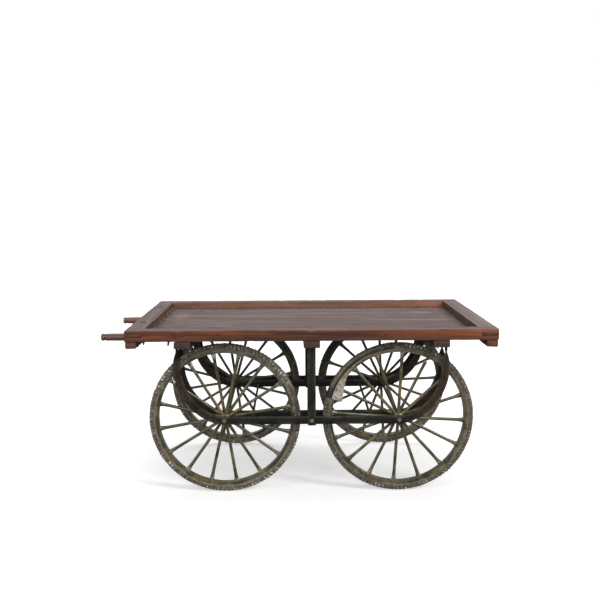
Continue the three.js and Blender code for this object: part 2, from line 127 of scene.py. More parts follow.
soft_sun("key_light", (0.70, -0.55, 0.62), KEY_LIGHT, 18, (1.0, 0.985, 0.96))
soft_sun("left_light", (-0.75, -0.75, 0.45), LEFT_LIGHT, 40, (0.96, 0.98, 1.0))
soft_sun("front_light", (0.1, -0.94, 0.34), FRONT_LIGHT, 30)
soft_sun("top_light", (0.0, 0.35, 1.0), TOP_LIGHT, 50)
print("lights:", len(bpy.data.lights))

# %% [markdown]
# ## Reading and mixing colours
#
# Colours are written as they are read off a screen, 0 to 255, and turned into the linear values
# that shaders mix in. A small class then keeps each material readable: it adds one node at a time
# and joins it by the names of its sockets.

# %% Colours


def srgb(red, green, blue):
    """A screen colour as linear light"""
    def linear(value):
        share = value / 255
        return share / 12.92 if share <= 0.04045 else ((share + 0.055) / 1.055) ** 2.4
    return (linear(red), linear(green), linear(blue), 1)


# %% A material that is built up call by call
MIX_FACTOR, MIX_FIRST, MIX_SECOND, MIX_RESULT = 0, 6, 7, 2


class Finish:
    """One material, with short calls that each add a node and join it"""

    def __init__(self, name, **constants):
        self.material = bpy.data.materials.new(name)
        self.material.use_nodes = True
        self.tree = self.material.node_tree
        self.shader = self.tree.nodes["Principled BSDF"]
        self.relief = None
        self.colour = None
        self.roughness = None
        for socket, value in constants.items():
            self.shader.inputs[socket.replace("_", " ")].default_value = value

    def join(self, socket, value):
        if isinstance(value, bpy.types.NodeSocket):
            self.tree.links.new(value, socket)
        else:
            socket.default_value = value

    def add(self, kind, inputs, **settings):
        node = self.tree.nodes.new("ShaderNode" + kind)
        for name, value in settings.items():
            setattr(node, name, value)
        for name, value in inputs.items():
            self.join(node.inputs[name], value)
        return node

    def place(self):
        return self.add("TexCoord", {}).outputs["Object"]

    def axes(self, vector=None):
        """How far a place lies along X, Y and Z"""
        return self.add("SeparateXYZ", {"Vector": vector or self.place()}).outputs

    def facing(self):
        """How far a surface faces along X, Y and Z"""
        return self.axes(self.add("TexCoord", {}).outputs["Normal"])

    def mapped(self, stretch, vector=None, move=(0, 0, 0)):
        inputs = {"Vector": vector or self.place(), "Scale": stretch, "Location": move}
        return self.add("Mapping", inputs).outputs[0]

    def cloud(self, size, detail=4.0, rough=0.5, move=(0, 0, 0), vector=None, warp=0.0):
        """Noise with some lumps to the metre, the same along all axes or one number for each"""
        stretch = size if isinstance(size, tuple) else (size, size, size)
        lumps = self.mapped(stretch, vector, move)
        inputs = {"Vector": lumps, "Scale": 1.0, "Detail": detail, "Roughness": rough, "Distortion": warp}
        return self.add("TexNoise", inputs).outputs[0]

    def between(self, value, low, high, start=0.0, end=1.0):
        inputs = {"Value": value, "From Min": low, "From Max": high, "To Min": start, "To Max": end}
        return self.add("MapRange", inputs).outputs[0]

    def sum(self, operation, *values):
        node = self.add("Math", {}, operation=operation)
        for socket, value in zip(node.inputs, values):
            self.join(socket, value)
        return node.outputs[0]

    def times(self, first, *others):
        for value in others:
            first = self.sum("MULTIPLY", first, value)
        return first

    def plus(self, first, second):
        return self.sum("ADD", first, second)

    def apart(self, first, second):
        """How far two values are from each other"""
        return self.sum("ABSOLUTE", self.sum("SUBTRACT", first, second))

    def band(self, value, start, full_from, full_to, end):
        """1 where a value lies in a band, fading to 0 at both its ends"""
        return self.times(self.between(value, start, full_from), self.between(value, end, full_to))

    def vector_sum(self, operation, first, second=(0, 0, 0)):
        node = self.add("VectorMath", {}, operation=operation)
        self.join(node.inputs[0], first)
        self.join(node.inputs[1], second)
        return node.outputs["Value" if operation in ("LENGTH", "DISTANCE") else "Vector"]

    def ramp(self, value, *stops):
        node = self.add("ValToRGB", {"Fac": value})
        elements = node.color_ramp.elements
        elements.remove(elements[1])
        elements[0].position, elements[0].color = stops[0]
        for position, colour in stops[1:]:
            elements.new(position).color = colour
        return node.outputs["Color"]

    def mix(self, share, first, second, blend="MIX"):
        node = self.add("Mix", {}, data_type="RGBA", blend_type=blend)
        self.join(node.inputs[MIX_FACTOR], share)
        self.join(node.inputs[MIX_FIRST], first)
        self.join(node.inputs[MIX_SECOND], second)
        return node.outputs[MIX_RESULT]

    def lay(self, tint, *shares):
        """Lays a colour over the colour so far, by the product of some shares"""
        self.colour = self.mix(self.times(*shares), self.colour, tint)

    def shade(self, value):
        """Makes the colour so far darker or lighter"""
        grey = self.add("CombineColor", {0: value, 1: value, 2: value}).outputs[0]
        self.colour = self.mix(1.0, self.colour, grey, "MULTIPLY")

    def attribute(self, name, output="Fac"):
        return self.add("Attribute", {}, attribute_name=name).outputs[output]

    def bump(self, height, depth):
        """Raises the surface by height, at most depth metres, over what is already raised"""
        inputs = {"Height": height, "Distance": depth}
        if self.relief:
            inputs["Normal"] = self.relief
        self.relief = self.add("Bump", inputs).outputs[0]

    def done(self, roughness=None):
        self.join(self.shader.inputs["Base Color"], self.colour)
        self.join(self.shader.inputs["Roughness"], roughness or self.roughness)
        if self.relief:
            self.join(self.shader.inputs["Normal"], self.relief)
        return self.material


print("colour helpers ready")

# %% [markdown]
# ## Old timber
#
# All the wood on this cart is one kind of red-brown hardwood that has aged in different ways. Its
# grain is long streaks: noise that is squeezed across the timber and stretched along it. The
# streaks wander a little, and they flow round knots, because a knot pushes the grain aside. On
# top come thin dark checks, a grey skin on faces that look at the sky, which is partly weathering
# and partly painted sheen, darker end grain, and lighter arrises where hands and ropes have
# rubbed. An image of wood would look as good from one place, but it could not run round a corner
# as this does.

# %% The timber finish
KNOT_PUSH = 0.022


def stretched(grain, along, across):
    """The scale of a pattern that runs along X or along Y"""
    return (along, across, across) if grain == "X" else (across, along, across)


def grain_place(finish, grain, knots):
    """Coordinates that wander slowly and bend round each knot"""
    place = finish.place()
    wander = finish.add("TexNoise", {"Vector": finish.mapped(stretched(grain, 1.7, 4.0)), "Scale": 1.0})
    offset = finish.vector_sum("SUBTRACT", wander.outputs["Color"], (0.5, 0.5, 0.5))
    small = finish.vector_sum("MULTIPLY", offset, stretched(grain, 0.02, 0.022))
    place = finish.vector_sum("ADD", place, small)
    for centre, radius, _ in knots:
        near = finish.between(finish.vector_sum("DISTANCE", place, centre), radius, 0.0)
        push = finish.add("CombineXYZ", {"Z": finish.times(near, near, KNOT_PUSH)})
        place = finish.vector_sum("ADD", place, push.outputs[0])
    return place


def spot(finish, centre, reach, rag=0.0):
    """How far inside a soft-edged ellipsoid a point lies: 1 in its middle, 0 outside"""
    away = finish.vector_sum("SUBTRACT", finish.place(), centre)
    scaled = finish.vector_sum("DIVIDE", away, reach)
    distance = finish.vector_sum("LENGTH", scaled)
    return finish.between(finish.plus(distance, rag), 1.0, 0.45)


def timber(name, grain, dark, middle, light, skin, skin_share, end, arris, gloss, knots=(), **more):
    """The shared part of every wood"""
    finish = Finish(name, Specular_IOR_Level=more.get("specular", 0.45))
    place = grain_place(finish, grain, knots)
    streaks = finish.cloud(stretched(grain, 1.5, 46), 7, 0.66, vector=place, warp=0.4)
    fibres = finish.cloud(stretched(grain, 8, 330), 3, 0.6, vector=place)
    broad = finish.cloud(stretched(grain, 1.6, 6), 3)
    finish.colour = finish.ramp(streaks, (0.34, dark), (0.49, middle), (0.64, light))
    finish.shade(finish.between(broad, 0.3, 0.7, 0.72, 1.22))
    finish.shade(finish.between(fibres, 0.35, 0.7, 0.84, 1.12))

    worn = finish.times(finish.attribute("wear"), finish.between(broad, 0.4, 0.6, 0.25, 0.9))
    finish.lay(arris, finish.between(worn, 0.15, 0.8, 0, 0.7))

    faces = finish.facing()
    upward = finish.between(faces["Z"], 0.45, 0.8)
    patchy = finish.between(finish.cloud(stretched(grain, 3, 14), 4), 0.3, 0.62, 0.6, 1.0)
    fine = finish.cloud(stretched(grain, 4, 110), 4, 0.6, vector=place, move=(0.4, 0.4, 0.4))
    skin_dark = finish.mix(0.5, skin, dark)
    skin_brown = finish.mix(0.5, skin, middle)
    skin = finish.mix(finish.between(streaks, 0.3, 0.66), skin_dark, skin)
    skin = finish.mix(finish.between(fine, 0.52, 0.7, 0, 0.6), skin, skin_dark)
    skin = finish.mix(finish.between(broad, 0.5, 0.7, 0, 0.35), skin, skin_brown)
    # The grey skin on upward faces is partly weathering and partly painted sheen.
    bleach_and_sheen = finish.times(upward, patchy, skin_share)
    finish.lay(skin, bleach_and_sheen)

    rings = finish.cloud((26, 26, 130), 5, warp=0.8)
    end_colour = finish.mix(finish.between(rings, 0.35, 0.65), finish.mix(0.6, end, dark), end)
    finish.lay(end_colour, finish.between(finish.sum("ABSOLUTE", faces[grain]), 0.6, 0.85))

    lines = finish.cloud(stretched(grain, 0.9, 26), 2, vector=place, move=(3.1, 0.7, 1.9))
    here = finish.between(finish.cloud(stretched(grain, 3.0, 9), 2), 0.5, 0.62)
    checks = finish.times(finish.between(finish.apart(lines, 0.5), 0.009, 0.002), here)
    finish.lay(srgb(24, 17, 14), checks, 0.85)

    for centre, radius, core_share in knots:
        away = finish.vector_sum("DISTANCE", finish.place(), centre)
        ragged = finish.plus(away, finish.between(rings, 0.3, 0.7, -0.004, 0.004))
        finish.lay(srgb(30, 20, 16), finish.between(ragged, radius * 0.3, radius * 0.1), core_share)
    for centre, radius in more.get("stains", ()):
        away = finish.vector_sum("DISTANCE", finish.place(), centre)
        ragged = finish.plus(away, finish.between(fine, 0.3, 0.7, -0.25 * radius, 0.25 * radius))
        finish.lay(srgb(40, 32, 30), finish.between(ragged, radius, radius * 0.35, 0.0, 0.7))
    # Dark rings round bolt heads: painted shade.
    for centre, radius in more.get("rings", ()):
        away = finish.vector_sum("DISTANCE", finish.place(), centre)
        finish.lay(srgb(24, 20, 19), finish.between(finish.apart(away, radius), 0.0080, 0.0050))

    finish.bump(streaks, 0.0016)
    finish.bump(fibres, 0.0005)
    finish.bump(finish.sum("SUBTRACT", 1.0, checks), 0.002)
    finish.roughness = finish.between(finish.plus(streaks, bleach_and_sheen), 0.3, 1.4, gloss, gloss + 0.32)
    return finish


print("timber finish ready")

# %% [markdown]
# ## The woods of the cart
#
# The rails are the reddest and still have a little varnish, the end boards are greyer on top, the
# bed is dull and dusty, the beams are brown and rough, and the turned handles shine because hands
# polish them. Dust has settled where the bed meets its frame. It is a tan colour with a hint of
# green, laid on by place and broken up with noise.

# %% The rails and the end boards
BED_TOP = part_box("plank_1")[1].z
BED_LEFT, BED_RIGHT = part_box("plank_1")[0].x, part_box("plank_1")[1].x
BED_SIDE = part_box("rail_far")[0].y
RAIL_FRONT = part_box("rail_near")[0].y
RAIL_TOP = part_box("rail_near")[1].z
BOARD_GROOVES = {"left": -0.738, "right": 0.922}
DUST = srgb(98, 85, 72)
MAUVE = srgb(135, 123, 125)

BOARD_BOLTS = [(-0.770, 0.281), (-0.772, -0.281)]
RAIL_TOP_NAIL = (0.083, -0.521)
RAIL_FRONT_NAIL = Vector((-0.364, RAIL_FRONT, 0.832))
RAIL_STAINS = [((*RAIL_TOP_NAIL, RAIL_TOP), 0.013), (RAIL_FRONT_NAIL, 0.008)]
# Dark rings round the two sunk bolt heads on the left end board are painted shade.
BOLT_SHADE_RINGS = [((*place, RAIL_TOP), 0.0125) for place in BOARD_BOLTS]
RAIL_KNOTS = [
    ((-0.571, RAIL_FRONT, 0.826), 0.075, 0.3),
    ((0.44, RAIL_FRONT, 0.818), 0.05, 0.5),
    ((-0.545, BED_SIDE, 0.828), 0.035, 0.6),
    ((0.710, BED_SIDE, 0.838), 0.06, 0.8),
]

finish = timber(
    "rail_wood", "X", srgb(44, 25, 18), srgb(80, 43, 25), srgb(130, 67, 32),
    MAUVE, 0.95, srgb(92, 60, 46), srgb(142, 84, 50), 0.42, RAIL_KNOTS, stains=RAIL_STAINS, specular=0.3)
x, y, z = finish.axes()
facing_y = finish.facing()["Y"]
outward = finish.between(facing_y, -0.5, -0.85)
uneven_z = finish.plus(z, finish.between(finish.cloud((3, 3, 60)), 0, 1, -0.006, 0.006))
finish.lay(srgb(70, 58, 56), outward, finish.between(uneven_z, 0.822, 0.812), 0.55)
# Lighter, more orange towards the right end of the front faces: partly faded wood, partly painted light.
faded_and_lit_right_end = finish.times(outward, finish.between(x, 0.30, 0.95, 0.0, 0.6))
finish.lay(srgb(172, 96, 54), faded_and_lit_right_end, finish.between(z, 0.800, 0.83, 0.35, 1.0))
inside = finish.sum("GREATER_THAN", y, 0.0)
faded = finish.times(outward, inside)
cloud = finish.cloud((7, 7, 40), 4)
finish.lay(srgb(176, 132, 112), faded, finish.between(cloud, 0.3, 0.7, 0.2, 0.42))
finish.lay(srgb(78, 50, 40), faded, finish.between(uneven_z, 0.835, 0.842), 0.4)
at_foot = finish.times(finish.between(z, 0.824, 0.812), finish.between(facing_y, -0.3, -0.9))
finish.lay(DUST, at_foot, inside, finish.between(finish.cloud((9, 9, 40)), 0.35, 0.6), 0.8)
rag = finish.between(cloud, 0.3, 0.7, -0.3, 0.3)
for knot_x, knot_z in ((-0.607, 0.820), (-0.556, 0.827), (-0.534, 0.809)):
    pale = spot(finish, (knot_x, BED_SIDE, knot_z), (0.008, 0.010, 0.0045), rag)
    finish.lay(srgb(158, 138, 128), pale, 0.5)
finish.lay(srgb(178, 96, 52), spot(finish, (-0.716, BED_SIDE, 0.845), (0.016, 0.010, 0.009), rag), 0.7)
rail_wood = finish.done()

finish = timber(
    "board_wood", "Y", srgb(50, 33, 28), srgb(88, 55, 42), srgb(118, 76, 56),
    srgb(138, 123, 124), 0.97, srgb(98, 52, 35), srgb(138, 112, 100), 0.48, rings=BOLT_SHADE_RINGS)
x, _, z = finish.axes()
faces = finish.facing()
patches = finish.between(finish.cloud((30, 12, 30), 5), 0.38, 0.62)
from_middle = finish.apart(x, (BED_LEFT + BED_RIGHT) / 2)
inward = finish.sum("LESS_THAN", from_middle, (BED_RIGHT - BED_LEFT) / 2 + 0.003)
# The right end board's inner face is darkened: painted shade.
shaded_steep_face = finish.between(finish.sum("ABSOLUTE", faces["X"]), 0.5, 0.8)
finish.lay(srgb(62, 46, 39), shaded_steep_face, inward, finish.between(x, 0, 0.5), 0.5)
finish.lay(DUST, finish.between(z, 0.835, 0.812), patches, inward, 0.8)
finish.lay(srgb(190, 174, 172), finish.between(faces["Z"], 0.6, 0.9), finish.between(x, 0, 0.5, 0, 0.13))
# Each groove is darkened along its length: painted shade.
for groove_x in BOARD_GROOVES.values():
    in_groove = finish.between(finish.apart(x, groove_x), 0.0035, 0.0012)
    finish.lay(srgb(62, 50, 46), in_groove, finish.between(patches, 0, 1, 0.35, 0.8))
board_wood = finish.done()
print("frame woods made")

# %% The bed, the beams and the handles
BED_NAILS = [(-0.542, 0.370), (-0.135, 0.049), (0.720, 0.418)]
BED_STAINS = [((x, y, BED_TOP), 0.019) for x, y in BED_NAILS]
BED_STAINS += [((-0.658, -0.246, BED_TOP), 0.014)]
BED_PATCHES = [
    ((-0.487, 0.363), (0.036, 0.0045), srgb(178, 164, 154), 0.75),
    ((-0.355, 0.055), (0.020, 0.0035), srgb(176, 162, 154), 0.7),
    ((-0.691, 0.108), (0.022, 0.034), srgb(156, 140, 130), 0.6),
    ((-0.374, -0.158), (0.060, 0.020), srgb(150, 136, 128), 0.55),
    ((-0.640, 0.200), (0.060, 0.160), srgb(148, 136, 132), 0.45),
    ((0.267, 0.181), (0.060, 0.012), srgb(72, 58, 54), 0.6),
    ((0.543, 0.248), (0.095, 0.013), srgb(74, 60, 56), 0.6),
    ((0.730, 0.281), (0.075, 0.055), srgb(152, 140, 128), 0.5),
]
finish = timber(
    "bed_wood", "X", srgb(58, 43, 40), srgb(94, 74, 68), srgb(130, 110, 102),
    srgb(131, 119, 118), 0.85, srgb(80, 64, 56), srgb(66, 52, 48), 0.58, specular=0.35, stains=BED_STAINS)
x, y, _ = finish.axes()
cloud = finish.between(finish.cloud((7, 12, 7), 6, 0.65), 0.3, 0.65, -0.05, 0.04)
shifted_x, shifted_y = finish.plus(x, cloud), finish.plus(y, cloud)
end_dust = finish.sum(
    "MAXIMUM", finish.between(shifted_x, BED_LEFT, BED_LEFT + 0.06, 1, 0),
    finish.between(shifted_x, BED_RIGHT - 0.04, BED_RIGHT, 0, 0.9))
side_dust = finish.sum(
    "MAXIMUM", finish.between(shifted_y, BED_SIDE - 0.10, BED_SIDE - 0.01, 0, 0.7),
    finish.between(shifted_y, -BED_SIDE, -BED_SIDE + 0.06, 0.8, 0))
grit = finish.cloud(70, 5, 0.7)
dust_colour = finish.ramp(
    grit, (0.36, srgb(60, 48, 41)), (0.52, srgb(96, 82, 70)), (0.68, srgb(146, 134, 118)))
streaky = finish.cloud((1.1, 13, 1), 5, 0.6, (0.2, 0.5, 0))
finish.lay(srgb(110, 84, 70), finish.between(streaky, 0.52, 0.66, 0, 0.5))
finish.lay(srgb(146, 132, 132), finish.between(streaky, 0.46, 0.36, 0, 0.5))
warm = finish.cloud((2.2, 7, 2), 4, move=(0.6, 0.1, 0))
finish.lay(srgb(124, 98, 82), finish.between(warm, 0.5, 0.68, 0, 0.4))
rag = finish.between(grit, 0.3, 0.7, -0.3, 0.3)
for centre, reach, tint, share in BED_PATCHES:
    finish.lay(tint, spot(finish, (*centre, BED_TOP), (*reach, 0.02), rag), share)
upward = finish.between(finish.facing()["Z"], 0.5, 0.8)
finish.lay(dust_colour, finish.sum("MAXIMUM", end_dust, side_dust), upward, 0.85)
scuffs = finish.cloud((5, 60, 5), 3, move=(0.3, 0.9, 0))
finish.lay(srgb(176, 164, 156), finish.between(scuffs, 0.66, 0.74), 0.35)
bed_wood = finish.done()

BEAM_SKIN = srgb(96, 80, 72)
beam_wood = timber(
    "beam_wood", "Y", srgb(38, 26, 22), srgb(62, 43, 36), srgb(88, 62, 50),
    BEAM_SKIN, 0.5, srgb(86, 63, 57), srgb(90, 64, 52), 0.6, specular=0.3).done()
end_beam_wood = timber(
    "end_beam_wood", "Y", srgb(42, 27, 20), srgb(80, 49, 36), srgb(112, 70, 48),
    BEAM_SKIN, 0.5, srgb(118, 74, 55), srgb(122, 80, 58), 0.6, specular=0.3).done()

finish = timber(
    "handle_wood", "X", srgb(56, 31, 24), srgb(106, 58, 44), srgb(146, 88, 66),
    srgb(132, 92, 76), 0.4, srgb(92, 54, 42), srgb(146, 108, 90), 0.24, specular=0.8)
groove = finish.band(finish.axes()["X"], -0.9695, -0.9675, -0.9620, -0.9600)
finish.lay(srgb(28, 16, 13), groove, 0.85)
handle_wood = finish.done()
print("woods:", len([m for m in bpy.data.materials if m.name.endswith("_wood")]))

# %% [markdown]
# ## Black steel and rusty rods
#
# The bars were painted black. Where they were bent the paint has cracked and let brown rust
# through, and their arrises have rubbed to a dull grey. The rods, nuts and bolt heads never had
# much paint, so they are rust all over with a worn spot on top.

# %% The steels
DECK_MIDDLE_X = sum(corner.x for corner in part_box("rail_near")) / 2

finish = Finish("black_steel", Specular_IOR_Level=0.28)
cloud = finish.cloud(16, 7, 0.62)
fine = finish.cloud(120, 4)
finish.colour = finish.mix(finish.between(cloud, 0.35, 0.65), srgb(14, 14, 11), srgb(32, 32, 25))
bent = finish.between(finish.apart(finish.axes()["X"], DECK_MIDDLE_X), 0.42, 0.62, 0.0, 0.34)
rusty = finish.between(finish.plus(cloud, bent), 0.60, 0.86)
rust = finish.ramp(fine, (0.3, srgb(36, 27, 21)), (0.55, srgb(58, 43, 31)), (0.75, srgb(88, 62, 42)))
finish.lay(rust, rusty, 0.8)
finish.lay(srgb(96, 88, 74), finish.attribute("wear"), finish.between(cloud, 0.42, 0.62), 0.5)
finish.bump(cloud, 0.0012)
finish.bump(fine, 0.0004)
black_steel = finish.done(finish.between(finish.plus(rusty, fine), 0.3, 1.3, 0.38, 0.75))

finish = Finish("rusty_steel", Specular_IOR_Level=0.5)
cloud = finish.cloud(70, 6, 0.6)
fine = finish.cloud(260, 4)
finish.colour = finish.ramp(
    cloud, (0.3, srgb(34, 28, 24)), (0.5, srgb(66, 50, 40)), (0.68, srgb(104, 78, 60)))
finish.lay(srgb(126, 122, 108), finish.attribute("wear"), finish.between(fine, 0.3, 0.6, 0.5, 1.0))
finish.bump(cloud, 0.0008)
rusty_steel = finish.done(finish.between(cloud, 0.3, 0.7, 0.45, 0.8))
print("steels made")

# %% [markdown]
# ## Olive paint
#
# The hubs, spokes and rims share one olive paint. It is glossy enough to draw a bright line along
# a spoke, chalky grey where weather has dulled it, and worn to tan and rust near the hubs and at
# the rims. Painted light is laid in as well: a painted highlight along the rim's lip, white chips
# with painted glints on the spoke tails of the upper half, painted shade in the rim's groove, and
# painted shade from the deck on the far wheels' tops. Each vertex of a wheel carries its place
# from the wheel's own middle, so one material knows the radius on all four wheels and goes on
# knowing it while a wheel turns.

# %% The wheel paint


def on_wheel(finish):
    """A place from its wheel's middle, the same within the wheel's plane, and how far out it is"""
    local = finish.attribute("wheel_place", "Vector")
    in_plane = finish.vector_sum("MULTIPLY", local, (1, 0, 1))
    return local, in_plane, finish.vector_sum("LENGTH", in_plane)


def painted_deck_shade(finish):
    """How much painted shade from the deck darkens the far wheels' tops"""
    _, y, z = finish.axes()
    return finish.times(finish.between(y, 0.1, 0.2), finish.between(z, 0.35, 0.6, 0.0, 0.55))


finish = Finish("olive_paint", Specular_IOR_Level=0.5, Coat_Weight=0.6, Coat_Roughness=0.2)
local, in_plane, radius = on_wheel(finish)
cloud = finish.cloud(17, 5, 0.55)
broad = finish.cloud(9, 4, move=(0.4, 0.2, 0.7))
fine = finish.cloud(190, 4)
finish.colour = finish.ramp(
    cloud, (0.3, srgb(52, 52, 29)), (0.5, srgb(74, 74, 44)), (0.68, srgb(94, 92, 60)))
finish.lay(srgb(122, 126, 110), finish.between(broad, 0.54, 0.7, 0, 0.45))
at_rim = finish.between(radius, 0.285, 0.330, 0.0, 0.035)
at_hub = finish.between(radius, 0.15, 0.06, 0.0, 0.06)
worn = finish.between(finish.plus(cloud, finish.plus(at_rim, at_hub)), 0.62, 0.69)
tan = finish.ramp(fine, (0.35, srgb(96, 78, 50)), (0.6, srgb(138, 114, 78)), (0.75, srgb(168, 150, 118)))
finish.lay(tan, worn, 0.8)
around = finish.vector_sum("MULTIPLY", finish.vector_sum("NORMALIZE", in_plane), (30, 0, 30))
outwards = finish.add("CombineXYZ", {"Y": finish.times(radius, 9)}).outputs[0]
streaks = finish.cloud(1, 3, vector=finish.vector_sum("ADD", around, outwards))
near_hub = finish.between(radius, 0.22, 0.07, 0.0, 0.85)
finish.lay(srgb(152, 116, 68), finish.between(streaks, 0.54, 0.62), near_hub)
# White specks on the spoke tails of the upper half: chipped paint with painted glints.
lit_upper_half = finish.between(finish.axes(local)["Z"], 0.0, 0.15, 0.35, 0.9)
chips_and_glints = finish.times(finish.between(finish.cloud(85, 3), 0.50, 0.58), lit_upper_half)
finish.lay(srgb(206, 210, 204), finish.band(radius, 0.30, 0.32, 0.3315, 0.3325), chips_and_glints)
# A dark line in the rim's groove is painted shade.
finish.lay(srgb(30, 26, 18), finish.band(radius, 0.3385, 0.3392, 0.3402, 0.3410), 0.7)
# A pale line along the rim's lip is a painted highlight.
lip_highlight = finish.between(radius, 0.3412, 0.3425)
finish.lay(srgb(146, 142, 122), lip_highlight, finish.between(cloud, 0.42, 0.6), 0.7)
grime = finish.cloud(14, 5, move=(0.9, 0, 0.1))
finish.lay(srgb(38, 34, 24), finish.between(grime, 0.56, 0.7, 0, 0.45))
ochre = finish.between(finish.cloud(11, 5, move=(0.3, 0.3, 0.9)), 0.54, 0.64)
finish.lay(srgb(122, 98, 58), ochre, finish.between(radius, 0.290, 0.325), 0.55)
# Painted shade from the deck on the far wheels' tops.
finish.lay(srgb(20, 20, 14), painted_deck_shade(finish))
finish.bump(cloud, 0.0003)
olive_paint = finish.done(finish.between(finish.plus(worn, cloud), 0.3, 1.4, 0.2, 0.6))
print("paint made")

# %% [markdown]
# ## Tyre rubber, the patch and the canvas
#
# The tyres are grey-brown and mottled: darker in the low places between the studs, tan dust over
# most of it, and pale rubbed tops on the studs, some of them white with painted glints. Next to the
# rim the canvas ply shows as a tan edge. The patch is newer rubber, dark and smooth, and the canvas
# is raw woven cloth, frayed and dirty.

# %% The rubbers and the canvas
finish = Finish("tyre_rubber", Specular_IOR_Level=0.5)
radius = on_wheel(finish)[2]
wear = finish.attribute("wear")
cloud = finish.cloud(34, 8, 0.7)
broad = finish.cloud(7, 4)
fine = finish.cloud(230, 4, 0.6)
finish.colour = finish.ramp(
    cloud, (0.3, srgb(46, 43, 39)), (0.48, srgb(97, 91, 82)), (0.66, srgb(148, 139, 126)))
dust = finish.mix(cloud, srgb(90, 78, 58), srgb(150, 134, 106))
finish.lay(dust, finish.between(broad, 0.38, 0.62, 0.05, 0.45))
ply = finish.times(finish.between(radius, 0.3575, 0.3550), finish.between(cloud, 0.32, 0.50, 0.4, 1.0))
finish.lay(srgb(134, 122, 104), ply, 0.6)
shoulder = finish.times(finish.between(radius, 0.3705, 0.3740), finish.between(cloud, 0.32, 0.6, 0.3, 1.0))
finish.lay(srgb(156, 138, 106), shoulder, 0.85)
region = finish.between(finish.cloud(9, 3, move=(0.2, 0.5, 0.8)), 0.40, 0.60, 0.3, 1)
# White stud tops are painted glints; the same mask makes those studs glossier.
gloss_and_glint = finish.between(finish.cloud(55, 3, move=(0.5, 0.2, 0.1)), 0.46, 0.58)
gloss_and_glint = finish.sum("MAXIMUM", finish.times(gloss_and_glint, region), finish.between(wear, 1.05, 1.4))
tops = finish.mix(gloss_and_glint, srgb(96, 91, 83), srgb(212, 211, 208))
finish.lay(tops, wear, finish.between(fine, 0.38, 0.55, 0.35, 1.0))
finish.lay(srgb(40, 36, 32), finish.between(fine, 0.40, 0.30), 0.7)
# Darker in the low band between the studs, where no stud stands.
between_lugs = finish.band(radius, 0.3555, 0.3570, 0.3700, 0.3720)
finish.lay(srgb(66, 60, 53), between_lugs, finish.between(wear, 0.3, 0.0), 0.5)
mottle = finish.cloud(80, 4, 0.6, (0.7, 0.1, 0.4))
finish.shade(finish.between(mottle, 0.36, 0.64, 0.58, 1.38))
finish.lay(srgb(44, 40, 36), finish.between(finish.axes()["X"], -0.1, 0.1, 0, 0.28))
# Painted shade from the deck on the far wheels' tops.
finish.lay(srgb(22, 20, 18), painted_deck_shade(finish))
finish.bump(cloud, 0.0024)
finish.bump(fine, 0.0014)
dull = finish.between(cloud, 0.3, 0.7, 0.55, 0.9)
tyre_rubber = finish.done(finish.sum("SUBTRACT", dull, finish.times(wear, gloss_and_glint, 0.45)))

finish = Finish("patch_rubber", Specular_IOR_Level=0.45)
local, _, radius = on_wheel(finish)
x, _, z = finish.axes(local)
cloud = finish.cloud(40, 7, 0.65)
broad = finish.cloud(12, 4)
finish.colour = finish.mix(finish.between(broad, 0.35, 0.65), srgb(26, 27, 29), srgb(50, 49, 48))
ragged = finish.plus(radius, finish.between(cloud, 0.3, 0.7, -0.003, 0.003))
from_end = finish.between(finish.sum("ARCTAN2", x, z), math.radians(-69), math.radians(-62))
dust = finish.mix(finish.between(cloud, 0.35, 0.65), srgb(82, 73, 60), srgb(136, 124, 104))
finish.lay(dust, finish.between(ragged, 0.3620, 0.3670), from_end, 0.85)
crumbs = finish.cloud(26, 5, move=(0.1, 0.1, 0.6))
finish.lay(srgb(150, 142, 126), finish.between(crumbs, 0.60, 0.68), 0.8)
finish.bump(cloud, 0.0014)
patch_rubber = finish.done(finish.between(cloud, 0.3, 0.7, 0.42, 0.75))

finish = Finish("canvas", Specular_IOR_Level=0.2)
warp, weft = [
    finish.add("TexWave", {"Vector": finish.place(), "Scale": 330.0}, bands_direction=way).outputs["Fac"]
    for way in ("X", "Z")
]
weave = finish.sum("MAXIMUM", warp, weft)
cloud = finish.cloud(60, 6, 0.65)
finish.colour = finish.ramp(
    cloud, (0.30, srgb(124, 110, 88)), (0.46, srgb(154, 139, 113)),
    (0.60, srgb(180, 169, 148)), (0.72, srgb(222, 218, 209)))
low_end = finish.between(finish.axes()["Z"], 0.60, 0.50, 0, 0.6)
finish.lay(srgb(228, 225, 219), low_end, finish.between(cloud, 0.40, 0.50))
finish.lay(srgb(84, 70, 52), finish.between(weave, 0.2, 0.9, 0.35, 0.0))
finish.bump(weave, 0.0006)
finish.bump(cloud, 0.0015)
canvas = finish.done(0.9)
print("materials:", len(bpy.data.materials))

# %% [markdown]
# ## From a bmesh to a piece
#
# A bmesh is Blender's mesh while it is being worked on. When a shape is done it becomes an object
# at the origin, its edges are marked sharp where they turn by more than a limit, and it rides on
# a body of the frame, so that it moves when that body moves.

# %% Adding a piece
SHARP_TURN = math.radians(38)
pieces = []


def add_piece(name, bm, material, body="root", replaces=()):
    """An object made of a finished bmesh, riding on a body and standing for its solids"""
    for face in bm.faces:
        face.smooth = True
    for edge in bm.edges:
        edge.smooth = len(edge.link_faces) == 2 and edge.calc_face_angle() < SHARP_TURN
    mesh = bpy.data.meshes.new(name)
    bm.to_mesh(mesh)
    bm.free()
    mesh.materials.append(material)
    piece = bpy.data.objects.new(name, mesh)
    bpy.context.scene.collection.objects.link(piece)
    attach(piece, body)
    if replaces:
        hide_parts(*replaces)
    pieces.append(piece)
    return piece


def triangle_count(mesh):
    return sum(len(polygon.vertices) - 2 for polygon in mesh.polygons)


print("ready to add pieces")

